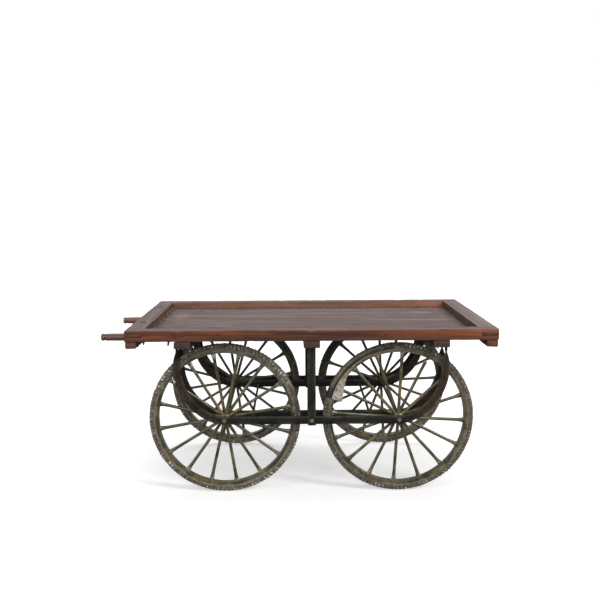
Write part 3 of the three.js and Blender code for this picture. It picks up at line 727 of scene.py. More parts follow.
# %% [markdown]
# ## Worn timbers
#
# A timber starts as a cube that is scaled to its solid. Its arrises are bevelled, it is divided
# along its length, and then every vertex near an arris is moved inwards by noise: a little
# everywhere, and a lot in a few places, which reads as chips. Faces dip by half a millimetre.
# Nothing moves outwards, so a timber never leaves the space of its solid. The amount of wear is
# kept on the vertices for the finish to use.

# %% Making and wearing a timber
ARRIS_BEVEL = 0.0022
ARRIS_REACH = 0.0030
AXES = {"X": 0, "Y": 1}


def box_mesh(low, high):
    bm = bmesh.new()
    bmesh.ops.create_cube(bm, size=1)
    bmesh.ops.scale(bm, vec=high - low, verts=bm.verts)
    bmesh.ops.translate(bm, vec=(low + high) / 2, verts=bm.verts)
    return bm


def ease(bm, edges, width, segments=2):
    """Bevels some edges with a round"""
    bmesh.ops.bevel(
        bm, geom=edges, offset=width, offset_type="OFFSET", segments=segments,
        profile=0.5, affect="EDGES", material=-1)


def divide_along(bm, axis, step):
    """Divides every edge that runs along an axis into steps"""
    groups = {}
    for edge in bm.edges:
        span = edge.verts[1].co - edge.verts[0].co
        if abs(span[axis]) > 0.99 * span.length and span.length > 2 * step:
            groups.setdefault(round(span.length, 1), []).append(edge)
    for edges in groups.values():
        cuts = round(edges[0].calc_length() / step) - 1
        bmesh.ops.subdivide_edges(bm, edges=edges, cuts=cuts, use_grid_fill=True)


def weather(bm, low, high, seed, soften=0.0014, chip=0.005, hollow=0.0006, rot=0.0):
    """Moves vertices inwards: softly all along the arrises, deeper in a few chips"""
    wear = bm.verts.layers.float.new("wear")
    shift = Vector((seed * 7.3, seed * 3.1, seed * 5.7))
    for vertex in bm.verts:
        place = vertex.co.copy()
        from_low, from_high = place - low, high - place
        inwards = Vector((0, 0, 0))
        for axis in range(3):
            if min(from_low[axis], from_high[axis]) < ARRIS_REACH:
                inwards[axis] = 1 if from_low[axis] < from_high[axis] else -1
        if inwards.length_squared > 1.5:
            soft = 0.5 + 0.5 * noise.noise(place * 14 + shift)
            bite = max(0, noise.noise(place * 24 + shift * 2) - 0.22) / 0.6
            depth = soften * soft + chip * bite
            if rot and from_low.z < ARRIS_REACH:
                depth += rot * max(0, noise.noise(place * 38 + shift * 3) + 0.15)
            vertex[wear] = min(1, 0.35 + bite)
        else:
            depth = hollow * (0.5 + 0.5 * noise.noise(place * 6 + shift))
        vertex.co = place + inwards * depth


def worn_timber(low, high, grain, seed, step=0.012, across=0, **wearing):
    """A whole straight timber, with a few divisions across it if it is wide"""
    bm = box_mesh(low, high)
    ease(bm, bm.edges[:], ARRIS_BEVEL)
    if across:
        divide_along(bm, 1 - AXES[grain], (high - low)[1 - AXES[grain]] / across)
    divide_along(bm, AXES[grain], step)
    weather(bm, low, high, seed, **wearing)
    return bm


print("timber helpers ready")

# %% [markdown]
# ## The side rails
#
# Each rail is slotted open at both ends for the tongue of an end board: a bridle joint. The slots
# are cut from the box with planes. The faces inside the slot are deleted, and its three walls are
# filled in from the corners that are left.

# %% The side rails
TONGUE_WIDTH = 0.082
TONGUE_THICKNESS = 0.017
TONGUE_BELOW_TOP = 0.017
JOINT_GAP = 0.0008


def cut_by_plane(bm, place, normal):
    bmesh.ops.bisect_plane(
        bm, geom=bm.verts[:] + bm.edges[:] + bm.faces[:], plane_co=place, plane_no=normal)


def wall_from(bm, corners):
    """A face between four corners that already have vertices"""
    picked = [min(bm.verts, key=lambda vertex: (vertex.co - corner).length) for corner in corners]
    bmesh.ops.contextual_create(bm, geom=picked)


def rail_mesh(low, high):
    bm = box_mesh(low, high)
    slot_top = high.z - TONGUE_BELOW_TOP + JOINT_GAP
    slot_bottom = high.z - TONGUE_BELOW_TOP - TONGUE_THICKNESS - JOINT_GAP
    for height in (slot_bottom, slot_top):
        cut_by_plane(bm, (0, 0, height), (0, 0, 1))
    slot_length = TONGUE_WIDTH + JOINT_GAP
    for end, inner in ((low.x, low.x + slot_length), (high.x, high.x - slot_length)):
        cut_by_plane(bm, (inner, 0, 0), (1, 0, 0))
        reach = sorted((end, inner))
        inside = [
            face for face in bm.faces
            if slot_bottom < face.calc_center_median().z < slot_top
            and reach[0] - 1e-4 < face.calc_center_median().x < reach[1] + 1e-4
        ]
        bmesh.ops.delete(bm, geom=inside, context="FACES")
        for height in (slot_bottom, slot_top):
            wall_from(bm, [Vector((x, y, height)) for x, y in (
                (end, low.y), (inner, low.y), (inner, high.y), (end, high.y))])
        wall_from(bm, [Vector((inner, y, z)) for y, z in (
            (low.y, slot_bottom), (low.y, slot_top), (high.y, slot_top), (high.y, slot_bottom))])
    bmesh.ops.recalc_face_normals(bm, faces=bm.faces)
    return bm


def on_arris(edge, low, high):
    """True if an edge lies on one of the twelve arrises of a box"""
    touching = 0
    for axis in range(3):
        for limit in (low[axis], high[axis]):
            if all(abs(vertex.co[axis] - limit) < 1e-5 for vertex in edge.verts):
                touching += 1
    return touching == 2


for seed, side in enumerate(("near", "far")):
    low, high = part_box(f"rail_{side}")
    bm = rail_mesh(low, high)
    ease(bm, [edge for edge in bm.edges if on_arris(edge, low, high)], ARRIS_BEVEL)
    divide_along(bm, 0, 0.012)
    weather(bm, low, high, seed + 1, soften=0.0011, chip=0.0035)
    rail = add_piece(f"{side}_rail", bm, rail_wood, replaces=[f"rail_{side}"])
    print(rail.name, triangle_count(rail.data))

# %% [markdown]
# ## The end boards
#
# An end board is a wide timber with a flat tongue at each end, which passes right through the
# rail and shows on its outside. The tongues are separate shells in the same mesh: the real ones
# are one with the board, but nobody sees where they join it inside the rail. A worn groove runs
# along the top of each board: three cuts by planes, with the middle one pushed down.

# %% The end boards


def add_shell(bm, other):
    """Adds one bmesh to another through a passing mesh"""
    passing = bpy.data.meshes.new("passing")
    other.to_mesh(passing)
    other.free()
    bm.from_mesh(passing)
    bpy.data.meshes.remove(passing)


GROOVE_HALF_WIDTH = 0.0030
GROOVE_DEPTH = 0.0022
for seed, end in enumerate(("left", "right")):
    low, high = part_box(f"end_board_{end}")
    body_low, body_high = low.copy(), high.copy()
    body_low.y, body_high.y = -BED_SIDE + 0.0006, BED_SIDE - 0.0006
    bm = worn_timber(body_low, body_high, "Y", seed + 11, across=4, chip=0.0016, soften=0.0010)
    for beside in (-GROOVE_HALF_WIDTH, 0, GROOVE_HALF_WIDTH):
        cut_by_plane(bm, (BOARD_GROOVES[end] + beside, 0, 0), (1, 0, 0))
    for vertex in bm.verts:
        if abs(vertex.co.x - BOARD_GROOVES[end]) < 1e-5 and vertex.co.z > high.z - 0.005:
            fading = min(1, max(0, (0.47 - abs(vertex.co.y)) / 0.05))
            vertex.co.z -= GROOVE_DEPTH * fading * (0.8 + 0.6 * noise.noise(vertex.co * 9))
    for side in (-1, 1):
        inner_x = low.x if end == "left" else high.x - TONGUE_WIDTH
        tongue_top = high.z - TONGUE_BELOW_TOP
        reach = sorted((side * (BED_SIDE - 0.01), side * high.y))
        tongue_low = Vector((inner_x, reach[0], tongue_top - TONGUE_THICKNESS))
        tongue_high = Vector((inner_x + TONGUE_WIDTH, reach[1], tongue_top))
        add_shell(bm, worn_timber(tongue_low, tongue_high, "Y", seed + side + 21, chip=0.0015))
    board = add_piece(
        f"{end}_end_board", bm, board_wood, replaces=[f"end_board_{end}"])
    print(board.name, triangle_count(board.data))

# %% [markdown]
# ## The bed
#
# Eight planks lie lengthwise. They have shrunk, so thin dark gaps show between them, and each
# has its own wear.

# %% The planks
PLANK_COUNT = 8
for index in range(1, PLANK_COUNT + 1):
    low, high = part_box(f"plank_{index}")
    bm = worn_timber(low, high, "X", index + 30, step=0.025, across=4, chip=0.0015, hollow=0.0004)
    add_piece(f"bed_plank_{index}", bm, bed_wood, replaces=[f"plank_{index}"])
print("planks:", PLANK_COUNT)

# %% [markdown]
# ## The beams
#
# Three cross beams carry the bed and hold the undercarriage, and an end beam lies under each end
# board. The lower edge of the end beams is rotten and scalloped, so they are worn more deeply,
# and their outer lower arris gets a wide round first.

# %% The cross beams and the end beams
END_BEAM_ROUND = 0.010
for seed, name in enumerate(("left", "middle", "right")):
    low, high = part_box(f"cross_beam_{name}")
    bm = worn_timber(low, high, "Y", seed + 41, chip=0.004, soften=0.0018, rot=0.0012)
    add_piece(f"{name}_cross_beam", bm, beam_wood, replaces=[f"cross_beam_{name}"])

for seed, name in enumerate(("left", "right")):
    low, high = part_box(f"end_beam_{name}")
    outer_x = low.x if name == "left" else high.x
    bm = box_mesh(low, high)
    lower = [
        edge for edge in bm.edges
        if all(abs(v.co.x - outer_x) < 1e-5 and v.co.z < low.z + 1e-5 for v in edge.verts)
    ]
    ease(bm, lower, END_BEAM_ROUND, 4)
    ease(bm, [edge for edge in bm.edges if on_arris(edge, low, high)], ARRIS_BEVEL)
    divide_along(bm, 1, 0.010)
    weather(bm, low, high, seed + 51, chip=0.004, soften=0.0016, rot=0.0025)
    add_piece(f"{name}_end_beam", bm, end_beam_wood, replaces=[f"end_beam_{name}"])
print("beams: 5")

# %% [markdown]
# ## The push handles
#
# Turned wood is drawn as half an outline and spun about its axis, as on a lathe. The outline has
# a small groove and bead near the tip and swells a little in the middle, where it is gripped.

# %% Turning an outline
FULL_TURN = 2 * math.pi


def turned(outline, steps, closed=False):
    """Spins an outline of (radius, along) pairs about Z; a closed outline makes a ring"""
    bm = bmesh.new()
    verts = [bm.verts.new((radius, 0, along)) for radius, along in outline]
    pairs = list(zip(verts, verts[1:]))
    if closed:
        pairs.append((verts[-1], verts[0]))
    edges = [bm.edges.new(pair) for pair in pairs]
    bmesh.ops.spin(
        bm, geom=verts + edges, cent=(0, 0, 0), axis=(0, 0, 1), dvec=(0, 0, 0),
        angle=FULL_TURN, steps=steps, use_merge=True, use_duplicate=False)
    bmesh.ops.remove_doubles(bm, verts=bm.verts, dist=1e-6)
    bmesh.ops.recalc_face_normals(bm, faces=bm.faces)
    return bm


def laid(bm, matrix):
    bmesh.ops.transform(bm, matrix=matrix, verts=bm.verts)
    return bm


ALONG_X = Matrix.Rotation(math.pi / 2, 4, "Y")
ALONG_Y = Matrix.Rotation(-math.pi / 2, 4, "X")
print("lathe ready")

# %% The push handles
HANDLE_OUTLINE = [
    (0, -0.002), (0.0165, -0.002), (0.0172, 0.004), (0.0180, 0.012), (0.0186, 0.030),
    (0.0189, 0.060), (0.0190, 0.090), (0.0188, 0.120), (0.0184, 0.140), (0.0181, 0.1475),
    (0.0172, 0.1490), (0.0160, 0.1510), (0.0157, 0.1530), (0.0161, 0.1555), (0.0174, 0.1575),
    (0.0183, 0.1590), (0.0187, 0.1620), (0.0186, 0.1655), (0.0176, 0.1695), (0.0155, 0.1722),
    (0.0120, 0.1734), (0.0060, 0.1738), (0, 0.1740),
]
for seed, side in enumerate(("near", "far")):
    low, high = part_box(f"handle_{side}")
    beam_face = low.x + HANDLE_OUTLINE[-1][1]
    middle = Vector((beam_face, (low.y + high.y) / 2, (low.z + high.z) / 2))
    bm = turned(HANDLE_OUTLINE, 40)
    laid(bm, Matrix.Translation(middle) @ Matrix.Rotation(math.pi, 4, "Z") @ ALONG_X)
    wear = bm.verts.layers.float.new("wear")
    for vertex in bm.verts:
        dent = max(0, noise.noise(vertex.co * 30 + Vector((seed, 0, 0))) - 0.2)
        inwards = Vector((0, middle.y - vertex.co.y, middle.z - vertex.co.z))
        vertex.co += inwards * dent * 0.12
        vertex[wear] = min(1, max(0, (beam_face - vertex.co.x - 0.15) * 30) + dent)
    add_piece(f"{side}_push_handle", bm, handle_wood, replaces=[f"handle_{side}"])
print("handles: 2")

# %% [markdown]
# ## The bent bars
#
# A flat bar is one small face, its cross section, that is extruded from station to station along
# the bar. Each station is a matrix, so the section can bend, twist a quarter turn and fold over
# into a foot exactly as the blacksmith's bar did. A curve object with a bevel would also do, but
# it would twist where it likes.

# %% Drawing a section through stations


def section(width, depth, corner, cuts=2):
    """The end of a flat bar: a rectangle with rounded corners that are marked as worn"""
    bm = bmesh.new()
    bmesh.ops.create_grid(bm, x_segments=1, y_segments=1, size=0.5)
    bmesh.ops.scale(bm, vec=(width, depth, 1), verts=bm.verts)
    bmesh.ops.bevel(
        bm, geom=bm.verts[:], offset=corner, offset_type="OFFSET", segments=2,
        profile=0.5, affect="VERTICES", material=-1)
    wear = bm.verts.layers.float.new("wear")
    for vertex in bm.verts:
        vertex[wear] = 1
    long_sides = [edge for edge in bm.edges if edge.calc_length() > 0.6 * max(width, depth)]
    made = bmesh.ops.subdivide_edges(bm, edges=long_sides, cuts=cuts)
    for part in made["geom_inner"]:
        if isinstance(part, bmesh.types.BMVert):
            part[wear] = 0
    bmesh.ops.dissolve_faces(bm, faces=bm.faces[:])
    return bm


def drawn(bm, stations):
    """Draws the one face of a bmesh through stations, each a matrix from the section's plane"""
    face = bm.faces[:][0]
    bmesh.ops.transform(bm, matrix=stations[0], verts=face.verts)
    for before, after in zip(stations, stations[1:]):
        made = bmesh.ops.extrude_face_region(bm, geom=[face])["geom"]
        face = next(part for part in made if isinstance(part, bmesh.types.BMFace))
        bmesh.ops.transform(bm, matrix=after @ before.inverted(), verts=face.verts)
    bmesh.ops.recalc_face_normals(bm, faces=bm.faces)
    return bm


def station(place, across, through, scale=(1, 1)):
    """A matrix that puts the section at a place, with its width and its depth along two directions"""
    across, through = Vector(across), Vector(through)
    forward = across.cross(through)
    turn = Matrix((across * scale[0], through * scale[1], forward)).transposed().to_4x4()
    return Matrix.Translation(place) @ turn


print("section helpers ready")

# %% The bars
AXLE_X = (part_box("tyre_near_right")[0].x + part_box("tyre_near_right")[1].x) / 2 - DECK_MIDDLE_X
AXLE_Y = (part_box("tyre_far_right")[0].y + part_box("tyre_far_right")[1].y) / 2
AXLE_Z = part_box("tyre_near_right")[1].z / 2
BAR_WIDTH = 0.040
BAR_THICKNESS = 0.008
BAR_CORNER = 0.0011
HUB_BEND_RADIUS = 0.150
HUB_BEND_ANGLE = math.radians(24)
UPRIGHT_BEND_RADIUS = 0.280
TWIST_LENGTH = 0.080
BAR_FOOT_LENGTH = 0.076
FOOT_BEND_RADIUS = 0.009
BAR_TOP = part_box("bar_outer_near")[1].z - AXLE_Z
BARS = ("bar_outer_near", "bar_inner_near", "bar_inner_far", "bar_outer_far")


def bar_stations():
    """The right half of a bar, from its middle to the end of its foot, about the axle's height"""
    toward = Vector((0, 1, 0))
    stations = []

    def bend(centre, radius, start, end, steps):
        for step in range(1, steps + 1):
            angle = start + (end - start) * step / steps
            place = Vector((centre[0] + radius * math.sin(angle), 0, centre[1] - radius * math.cos(angle)))
            stations.append(station(place, (-math.sin(angle), 0, math.cos(angle)), toward))

    for step in range(24):
        stations.append(station((AXLE_X * step / 23, 0, 0), (0, 0, 1), toward))
    bend((AXLE_X, HUB_BEND_RADIUS), HUB_BEND_RADIUS, 0, HUB_BEND_ANGLE, 6)
    shift = HUB_BEND_RADIUS - UPRIGHT_BEND_RADIUS
    centre = (AXLE_X + shift * math.sin(HUB_BEND_ANGLE), HUB_BEND_RADIUS - shift * math.cos(HUB_BEND_ANGLE))
    bend(centre, UPRIGHT_BEND_RADIUS, HUB_BEND_ANGLE, math.pi / 2, 18)
    upright_x = centre[0] + UPRIGHT_BEND_RADIUS
    for step in range(1, 17):
        turn = Matrix.Rotation(math.pi / 2 * step / 16, 3, "Z")
        place = (upright_x, 0, centre[1] + TWIST_LENGTH * step / 16)
        stations.append(station(place, turn @ Vector((-1, 0, 0)), turn @ toward))
    fold_centre = Vector((upright_x - FOOT_BEND_RADIUS, 0, BAR_TOP - BAR_THICKNESS / 2 - FOOT_BEND_RADIUS))
    stations.append(station((upright_x, 0, fold_centre.z), (0, -1, 0), (-1, 0, 0)))
    for step in range(1, 7):
        angle = math.pi / 2 * step / 6
        outwards = Vector((math.cos(angle), 0, math.sin(angle)))
        stations.append(station(fold_centre + outwards * FOOT_BEND_RADIUS, (0, -1, 0), -outwards))
    foot_end = upright_x + BAR_THICKNESS / 2 - BAR_FOOT_LENGTH
    stations.append(station((foot_end, 0, BAR_TOP - BAR_THICKNESS / 2), (0, -1, 0), (0, 0, -1)))
    return stations


def beaten(bm, seed, depth):
    """Gives hammered steel its slight unevenness"""
    for vertex in bm.verts:
        push = noise.noise_vector(vertex.co * 11 + Vector((seed * 3.7, 0, 0)))
        vertex.co += Vector((push.x * 0.4, push.y, push.z)) * depth
    return bm


def add_steel(node, bm):
    """Adds a bar or a strut under the words of its solid's name in another order"""
    kind, row, side = node.split("_")
    steel = add_piece(f"{side}_{row}_{kind}", bm, black_steel, replaces=[node])
    print(steel.name, triangle_count(steel.data))


for seed, node in enumerate(BARS):
    low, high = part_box(node)
    bm = drawn(section(BAR_WIDTH, BAR_THICKNESS, BAR_CORNER), bar_stations())
    middle_face = [face for face in bm.faces if abs(face.calc_center_median().x) < 1e-6]
    bmesh.ops.delete(bm, geom=middle_face, context="FACES")
    half = bm.verts[:] + bm.edges[:] + bm.faces[:]
    copy = bmesh.ops.duplicate(bm, geom=half)["geom"]
    copied = [part for part in copy if isinstance(part, bmesh.types.BMVert)]
    bmesh.ops.transform(bm, matrix=Matrix.Rotation(math.pi, 4, "Z"), verts=copied)
    bmesh.ops.remove_doubles(bm, verts=bm.verts, dist=1e-5)
    beaten(bm, seed, 0.0006)
    add_steel(node, laid(bm, Matrix.Translation((DECK_MIDDLE_X, (low.y + high.y) / 2, AXLE_Z))))

# %% [markdown]
# ## The struts
#
# A strut is the same flat stock, straight up from the crossing of the bar to the middle beam,
# where it folds over into a foot. It is drawn from the bottom to the end of the foot.

# %% The struts
STRUT_FOOT_LENGTH = 0.058
STRUTS = [
    ("strut_outer_near", 1), ("strut_inner_near", -1), ("strut_inner_far", 1), ("strut_outer_far", -1),
]
for node, foot_side in STRUTS:
    low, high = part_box(node)
    upright_y = (low.y if foot_side > 0 else high.y) + foot_side * BAR_THICKNESS / 2
    middle_x = (low.x + high.x) / 2
    fold_z = high.z - BAR_THICKNESS / 2 - FOOT_BEND_RADIUS
    fold_y = upright_y + foot_side * FOOT_BEND_RADIUS
    stations = []
    for step in range(20):
        height = low.z + 0.0005 + (fold_z - low.z) * step / 19
        stations.append(station((middle_x, upright_y, height), (1, 0, 0), (0, 1, 0)))
    for step in range(1, 7):
        angle = math.pi / 2 * step / 6
        outwards = Vector((0, -foot_side * math.cos(angle), math.sin(angle)))
        place = Vector((middle_x, fold_y, fold_z)) + outwards * FOOT_BEND_RADIUS
        stations.append(station(place, (1, 0, 0), outwards * -foot_side))
    foot_end = upright_y - foot_side * BAR_THICKNESS / 2 + foot_side * STRUT_FOOT_LENGTH
    foot_tip = (middle_x, foot_end, high.z - BAR_THICKNESS / 2)
    stations.append(station(foot_tip, (1, 0, 0), (0, 0, -foot_side)))
    bm = beaten(drawn(section(BAR_WIDTH, BAR_THICKNESS, BAR_CORNER), stations), 9 + foot_side, 0.0003)
    add_steel(node, bm)

# %% [markdown]
# ## Nuts, bolts and rods
#
# A nut is a six-sided cone with equal ends, bevelled. A carriage bolt's head is a low dome from
# the lathe. Their worn spots are marked on the vertices that stand furthest out. Each is made
# along Z and laid in its place by one matrix.

# %% Small hardware


def prism(segments, radius, low, high):
    """A straight prism along Z with closed ends"""
    bm = bmesh.new()
    bmesh.ops.create_cone(
        bm, cap_ends=True, segments=segments, radius1=radius, radius2=radius, depth=high - low)
    bmesh.ops.translate(bm, vec=(0, 0, (low + high) / 2), verts=bm.verts)
    return bm


def hexagon(across_flats, low, high):
    bm = prism(6, across_flats / 2 / math.cos(math.pi / 6), low, high)
    ease(bm, bm.edges[:], across_flats * 0.05)
    return bm


def rod(radius, low, high, segments=20):
    bm = prism(segments, radius, low, high)
    rings = [edge for edge in bm.edges if abs(edge.verts[0].co.z - edge.verts[1].co.z) < 1e-6]
    ease(bm, rings, radius * 0.2)
    return bm


def dome(radius, height):
    """A carriage bolt's head, from z 0 up"""
    rise = [(radius * math.cos(a), height * math.sin(a)) for a in (0.0, 0.3, 0.6, 0.9, 1.2)]
    return turned([(0, -0.001), (radius, -0.001)] + rise + [(0, height)], 20)


def mark_tops(bm, above):
    """Marks what stands above a height as rubbed"""
    wear = bm.verts.layers.float.new("wear")
    for vertex in bm.verts:
        vertex[wear] = 1 if vertex.co.z > above else 0
    return bm


def assembled(*shells):
    bm = bmesh.new()
    bm.verts.layers.float.new("wear")
    for shell in shells:
        add_shell(bm, shell)
    return bm


print("hardware helpers ready")

# %% The axle bolts
AXLE_RADIUS = 0.008
AXLE_WASHER_RADIUS = 0.0155
AXLE_NUT_WIDTH = 0.024
AXLE_TIP = 0.0092
BAR_OFFSET = 0.060
HEAD_START = BAR_OFFSET + BAR_THICKNESS / 2
for side, outward in (("near", -1), ("far", 1)):
    for end, lengthways in (("left", -1), ("right", 1)):
        bolt = assembled(
            rod(AXLE_RADIUS, -HEAD_START - 0.014, HEAD_START),
            rod(AXLE_WASHER_RADIUS, HEAD_START + 0.0003, HEAD_START + 0.0022, 28),
            hexagon(AXLE_NUT_WIDTH, HEAD_START + 0.002, HEAD_START + 0.0088),
            mark_tops(rod(0.0072, HEAD_START, HEAD_START + AXLE_TIP), HEAD_START + 0.0085),
            rod(AXLE_WASHER_RADIUS, -HEAD_START - 0.0025, -HEAD_START - 0.0005, 28),
            hexagon(AXLE_NUT_WIDTH, -HEAD_START - 0.0122, -HEAD_START - 0.0025),
        )
        place = (DECK_MIDDLE_X + lengthways * AXLE_X, outward * AXLE_Y, AXLE_Z)
        laid(bolt, Matrix.Translation(place) @ Matrix.Rotation(-outward * math.pi / 2, 4, "X"))
        add_piece(
            f"{side}_{end}_axle_bolt", bolt, rusty_steel, replaces=[f"axle_{side}_{end}"])
print("axle bolts: 4")

# %% The tie rods
TIE_ROD_RADIUS = 0.006
TIE_WASHER_RADIUS = 0.012
TIE_WASHER_THICKNESS = 0.002
LARGE_NUT_WIDTH = 0.019
LARGE_NUT_THICKNESS = 0.007
nuts_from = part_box("bar_inner_far")[1].y + 0.0003
for end in ("left", "right"):
    low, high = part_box(f"tie_rod_{end}")
    washer_end = nuts_from + TIE_WASHER_THICKNESS
    nut_end = washer_end + LARGE_NUT_THICKNESS
    cross_rod = assembled(
        rod(TIE_ROD_RADIUS, -high.y, high.y),
        rod(TIE_WASHER_RADIUS, nuts_from, washer_end),
        hexagon(LARGE_NUT_WIDTH, washer_end, nut_end),
        rod(TIE_WASHER_RADIUS, -washer_end, -nuts_from),
        hexagon(LARGE_NUT_WIDTH, -nut_end, -washer_end),
    )
    laid(cross_rod, Matrix.Translation((low + high) / 2) @ ALONG_Y)
    add_piece(f"{end}_tie_rod", cross_rod, rusty_steel, replaces=[f"tie_rod_{end}"])
print("tie rods: 2")

# %% [markdown]
# ## Bolts that hold the struts and the bars' feet
#
# These small fasteners have no solid of their own. They are gathered in one piece that rides on
# the cart's main body: a domed bolt where each strut crosses its bar, and bolt ends and nuts under
# the beams. The sunk bolt heads on the left end board, for the handles, are made with the nails.

# %% Fasteners
DOWN = Matrix.Rotation(math.pi, 4, "X")
FEET_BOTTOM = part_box("cross_beam_middle")[0].z - BAR_THICKNESS
FOOT_WASHER_THICKNESS = 0.0015
STRUT_NUT_FROM = 0.0165
fasteners = assembled()


def fasten(shell, place, turn=Matrix.Identity(4)):
    add_shell(fasteners, laid(shell, Matrix.Translation(place) @ turn))


def nut_below(x, y):
    """A washer, a nut and the end of a bolt, under a foot of a bar or a strut"""
    place = (x, y, FEET_BOTTOM)
    fasten(rod(0.0085, 0.0, FOOT_WASHER_THICKNESS), place, DOWN)
    fasten(hexagon(0.014, FOOT_WASHER_THICKNESS, 0.008), place, DOWN)
    fasten(rod(0.004, 0.0, 0.012, 12), place, DOWN)


for node, foot_side in STRUTS:
    low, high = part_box(node)
    face_y = low.y if foot_side > 0 else high.y
    toward = Matrix.Rotation(foot_side * math.pi / 2, 4, "X")
    fasten(mark_tops(dome(0.0125, 0.0075), 0.0055), (DECK_MIDDLE_X, face_y, AXLE_Z), toward)
    nut_place = (DECK_MIDDLE_X, face_y + foot_side * STRUT_NUT_FROM, AXLE_Z)
    fasten(hexagon(LARGE_NUT_WIDTH, 0.0, 0.009), nut_place, toward @ DOWN)
for node in BARS:
    low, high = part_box(node)
    for foot_x in (low.x + 0.040, low.x + 0.062, high.x - 0.040, high.x - 0.062):
        nut_below(foot_x, (low.y + high.y) / 2)
for node, foot_side in STRUTS:
    low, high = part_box(node)
    nut_below(DECK_MIDDLE_X, (high.y if foot_side > 0 else low.y) - foot_side * 0.020)
add_piece("fasteners", fasteners, rusty_steel)
print("fasteners made")

# %% [markdown]
# ## Nails in the deck
#
# Nail heads are low discs from the lathe, set a hair above the wood. Three on the bed are larger
# and dark. Two nails have come right through the near rail and show their tips below it, bent.

# %% The nails
NAIL_SINK = 0.0008
nails = assembled()


def nail_head(radius, place, turn=Matrix.Identity(4)):
    outline = [(0, -0.001), (radius, -0.001), (radius, 0.0002), (radius * 0.8, 0.0006), (0, 0.0008)]
    disc = turned(outline, 12)
    add_shell(nails, laid(disc, Matrix.Translation(place) @ turn))


for place in BED_NAILS:
    nail_head(0.0065, (*place, BED_TOP - NAIL_SINK))
beam_boxes = [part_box(f"cross_beam_{name}") for name in ("left", "middle", "right")]
for index in range(1, PLANK_COUNT + 1):
    low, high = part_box(f"plank_{index}")
    for turn, (beam_low, beam_high) in enumerate(beam_boxes):
        wobble = noise.noise(Vector((index * 1.7, turn * 2.3, 0))) * 0.014
        nail_x = (beam_low.x + beam_high.x) / 2 + wobble
        for share in (0.22, 0.78):
            nail_head(0.0034, (nail_x, low.y + (high.y - low.y) * share, BED_TOP - 0.0010))
for place in BOARD_BOLTS:
    nail_head(0.0080, (*place, RAIL_TOP - NAIL_SINK))
nail_head(0.0060, (*RAIL_TOP_NAIL, RAIL_TOP - NAIL_SINK))
nail_head(0.005, RAIL_FRONT_NAIL + Vector((0, 0.0012, 0)), Matrix.Rotation(math.pi / 2, 4, "X"))
for tip_x, length, blunt in ((-0.723, 0.020, 0.0006), (-0.604, 0.022, 0.0035)):
    tip = bmesh.new()
    bmesh.ops.create_cone(tip, cap_ends=True, segments=10, radius1=blunt, radius2=0.0064, depth=length)
    place = (tip_x, RAIL_FRONT + 0.012, 0.795 - length / 2)
    add_shell(nails, laid(tip, Matrix.Translation(place) @ Matrix.Rotation(0.2, 4, "Y")))
add_piece("nails", nails, rusty_steel)
print("nails made")

# %% [markdown]
# ## The wheels
#
# One recipe makes all four wheels. The rim is a closed outline turned on the lathe, with rolled
# lips. A spoke is a round section drawn outwards from the hub, and it spreads into a fish tail at
# the rim. Neighbouring spokes start on opposite sides of the hub, which braces the wheel. The
# wheels were not put on in step, so each has its own first angle, and one spoke of the near right
# wheel has broken off its tail.

# %% Places on a wheel
SPOKE_COUNT = 16
SPOKE_STAGGER = 0.013
RIM_INSIDE = 0.332
FIRST_SPOKE = {"near_left": 13, "near_right": 3.5, "far_left": 14.5, "far_right": 20}
BROKEN_SPOKE = {"near_right": 1}


def mirrored(half):
    """A closed outline from the half of it on one side of the wheel's plane"""
    return half + [(radius, -along) for radius, along in reversed(half) if along > 0]


def wheel_middle(wheel):
    low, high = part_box(f"tyre_{wheel}")
    return (low + high) / 2


def to_wheel(wheel, bm):
    """Keeps each vertex's place from the wheel's middle, for the paint, and moves it there"""
    layer = bm.verts.layers.float_vector.new("wheel_place")
    for vertex in bm.verts:
        vertex[layer] = vertex.co
    return laid(bm, Matrix.Translation(wheel_middle(wheel)))


def add_to_wheel(wheel, kind, bm, material):
    piece = add_piece(
        f"{wheel}_{kind}", to_wheel(wheel, bm), material, body=f"wheel_{wheel}",
        replaces=[f"{kind}_{wheel}"])
    print(piece.name, triangle_count(piece.data))


SPOKE_SIZES = [
    (0.016, 0.0172, 0.0134), (0.030, 0.0168, 0.0130), (0.050, 0.0163, 0.0127), (0.090, 0.0159, 0.0124),
    (0.130, 0.0157, 0.0122), (0.170, 0.0156, 0.0122), (0.210, 0.0157, 0.0122), (0.250, 0.0159, 0.0122),
    (0.285, 0.0164, 0.0120), (0.302, 0.0178, 0.0116), (0.314, 0.0204, 0.0110), (0.323, 0.0236, 0.0104),
    (0.329, 0.0264, 0.0100), (RIM_INSIDE - 0.0005, 0.0278, 0.0100),
]


def spoke(index, is_broken, seed):
    """One spoke along +Z from the wheel's middle, with its root on its own side of the hub"""
    bm = bmesh.new()
    bmesh.ops.create_circle(bm, cap_ends=True, radius=0.5, segments=12)
    side = -SPOKE_STAGGER if index % 2 == 0 else SPOKE_STAGGER
    tail_end = 0.314 if is_broken else RIM_INSIDE - 0.0005
    stations = []
    for radius, width, depth in SPOKE_SIZES:
        if radius > tail_end + 0.0001:
            break
        sway = 0.0012 * noise.noise(Vector((radius * 9, index * 1.3, seed * 2.1)))
        place = Vector((sway, side * (1 - radius / RIM_INSIDE), radius))
        lean = 0.35 if is_broken and radius > 0.31 else 0
        turn = Matrix.Rotation(lean, 4, "Y")
        stations.append(Matrix.Translation(place) @ turn @ Matrix.Diagonal((width, depth, 1, 1)))
    return drawn(bm, stations)


print("spoke recipe ready")

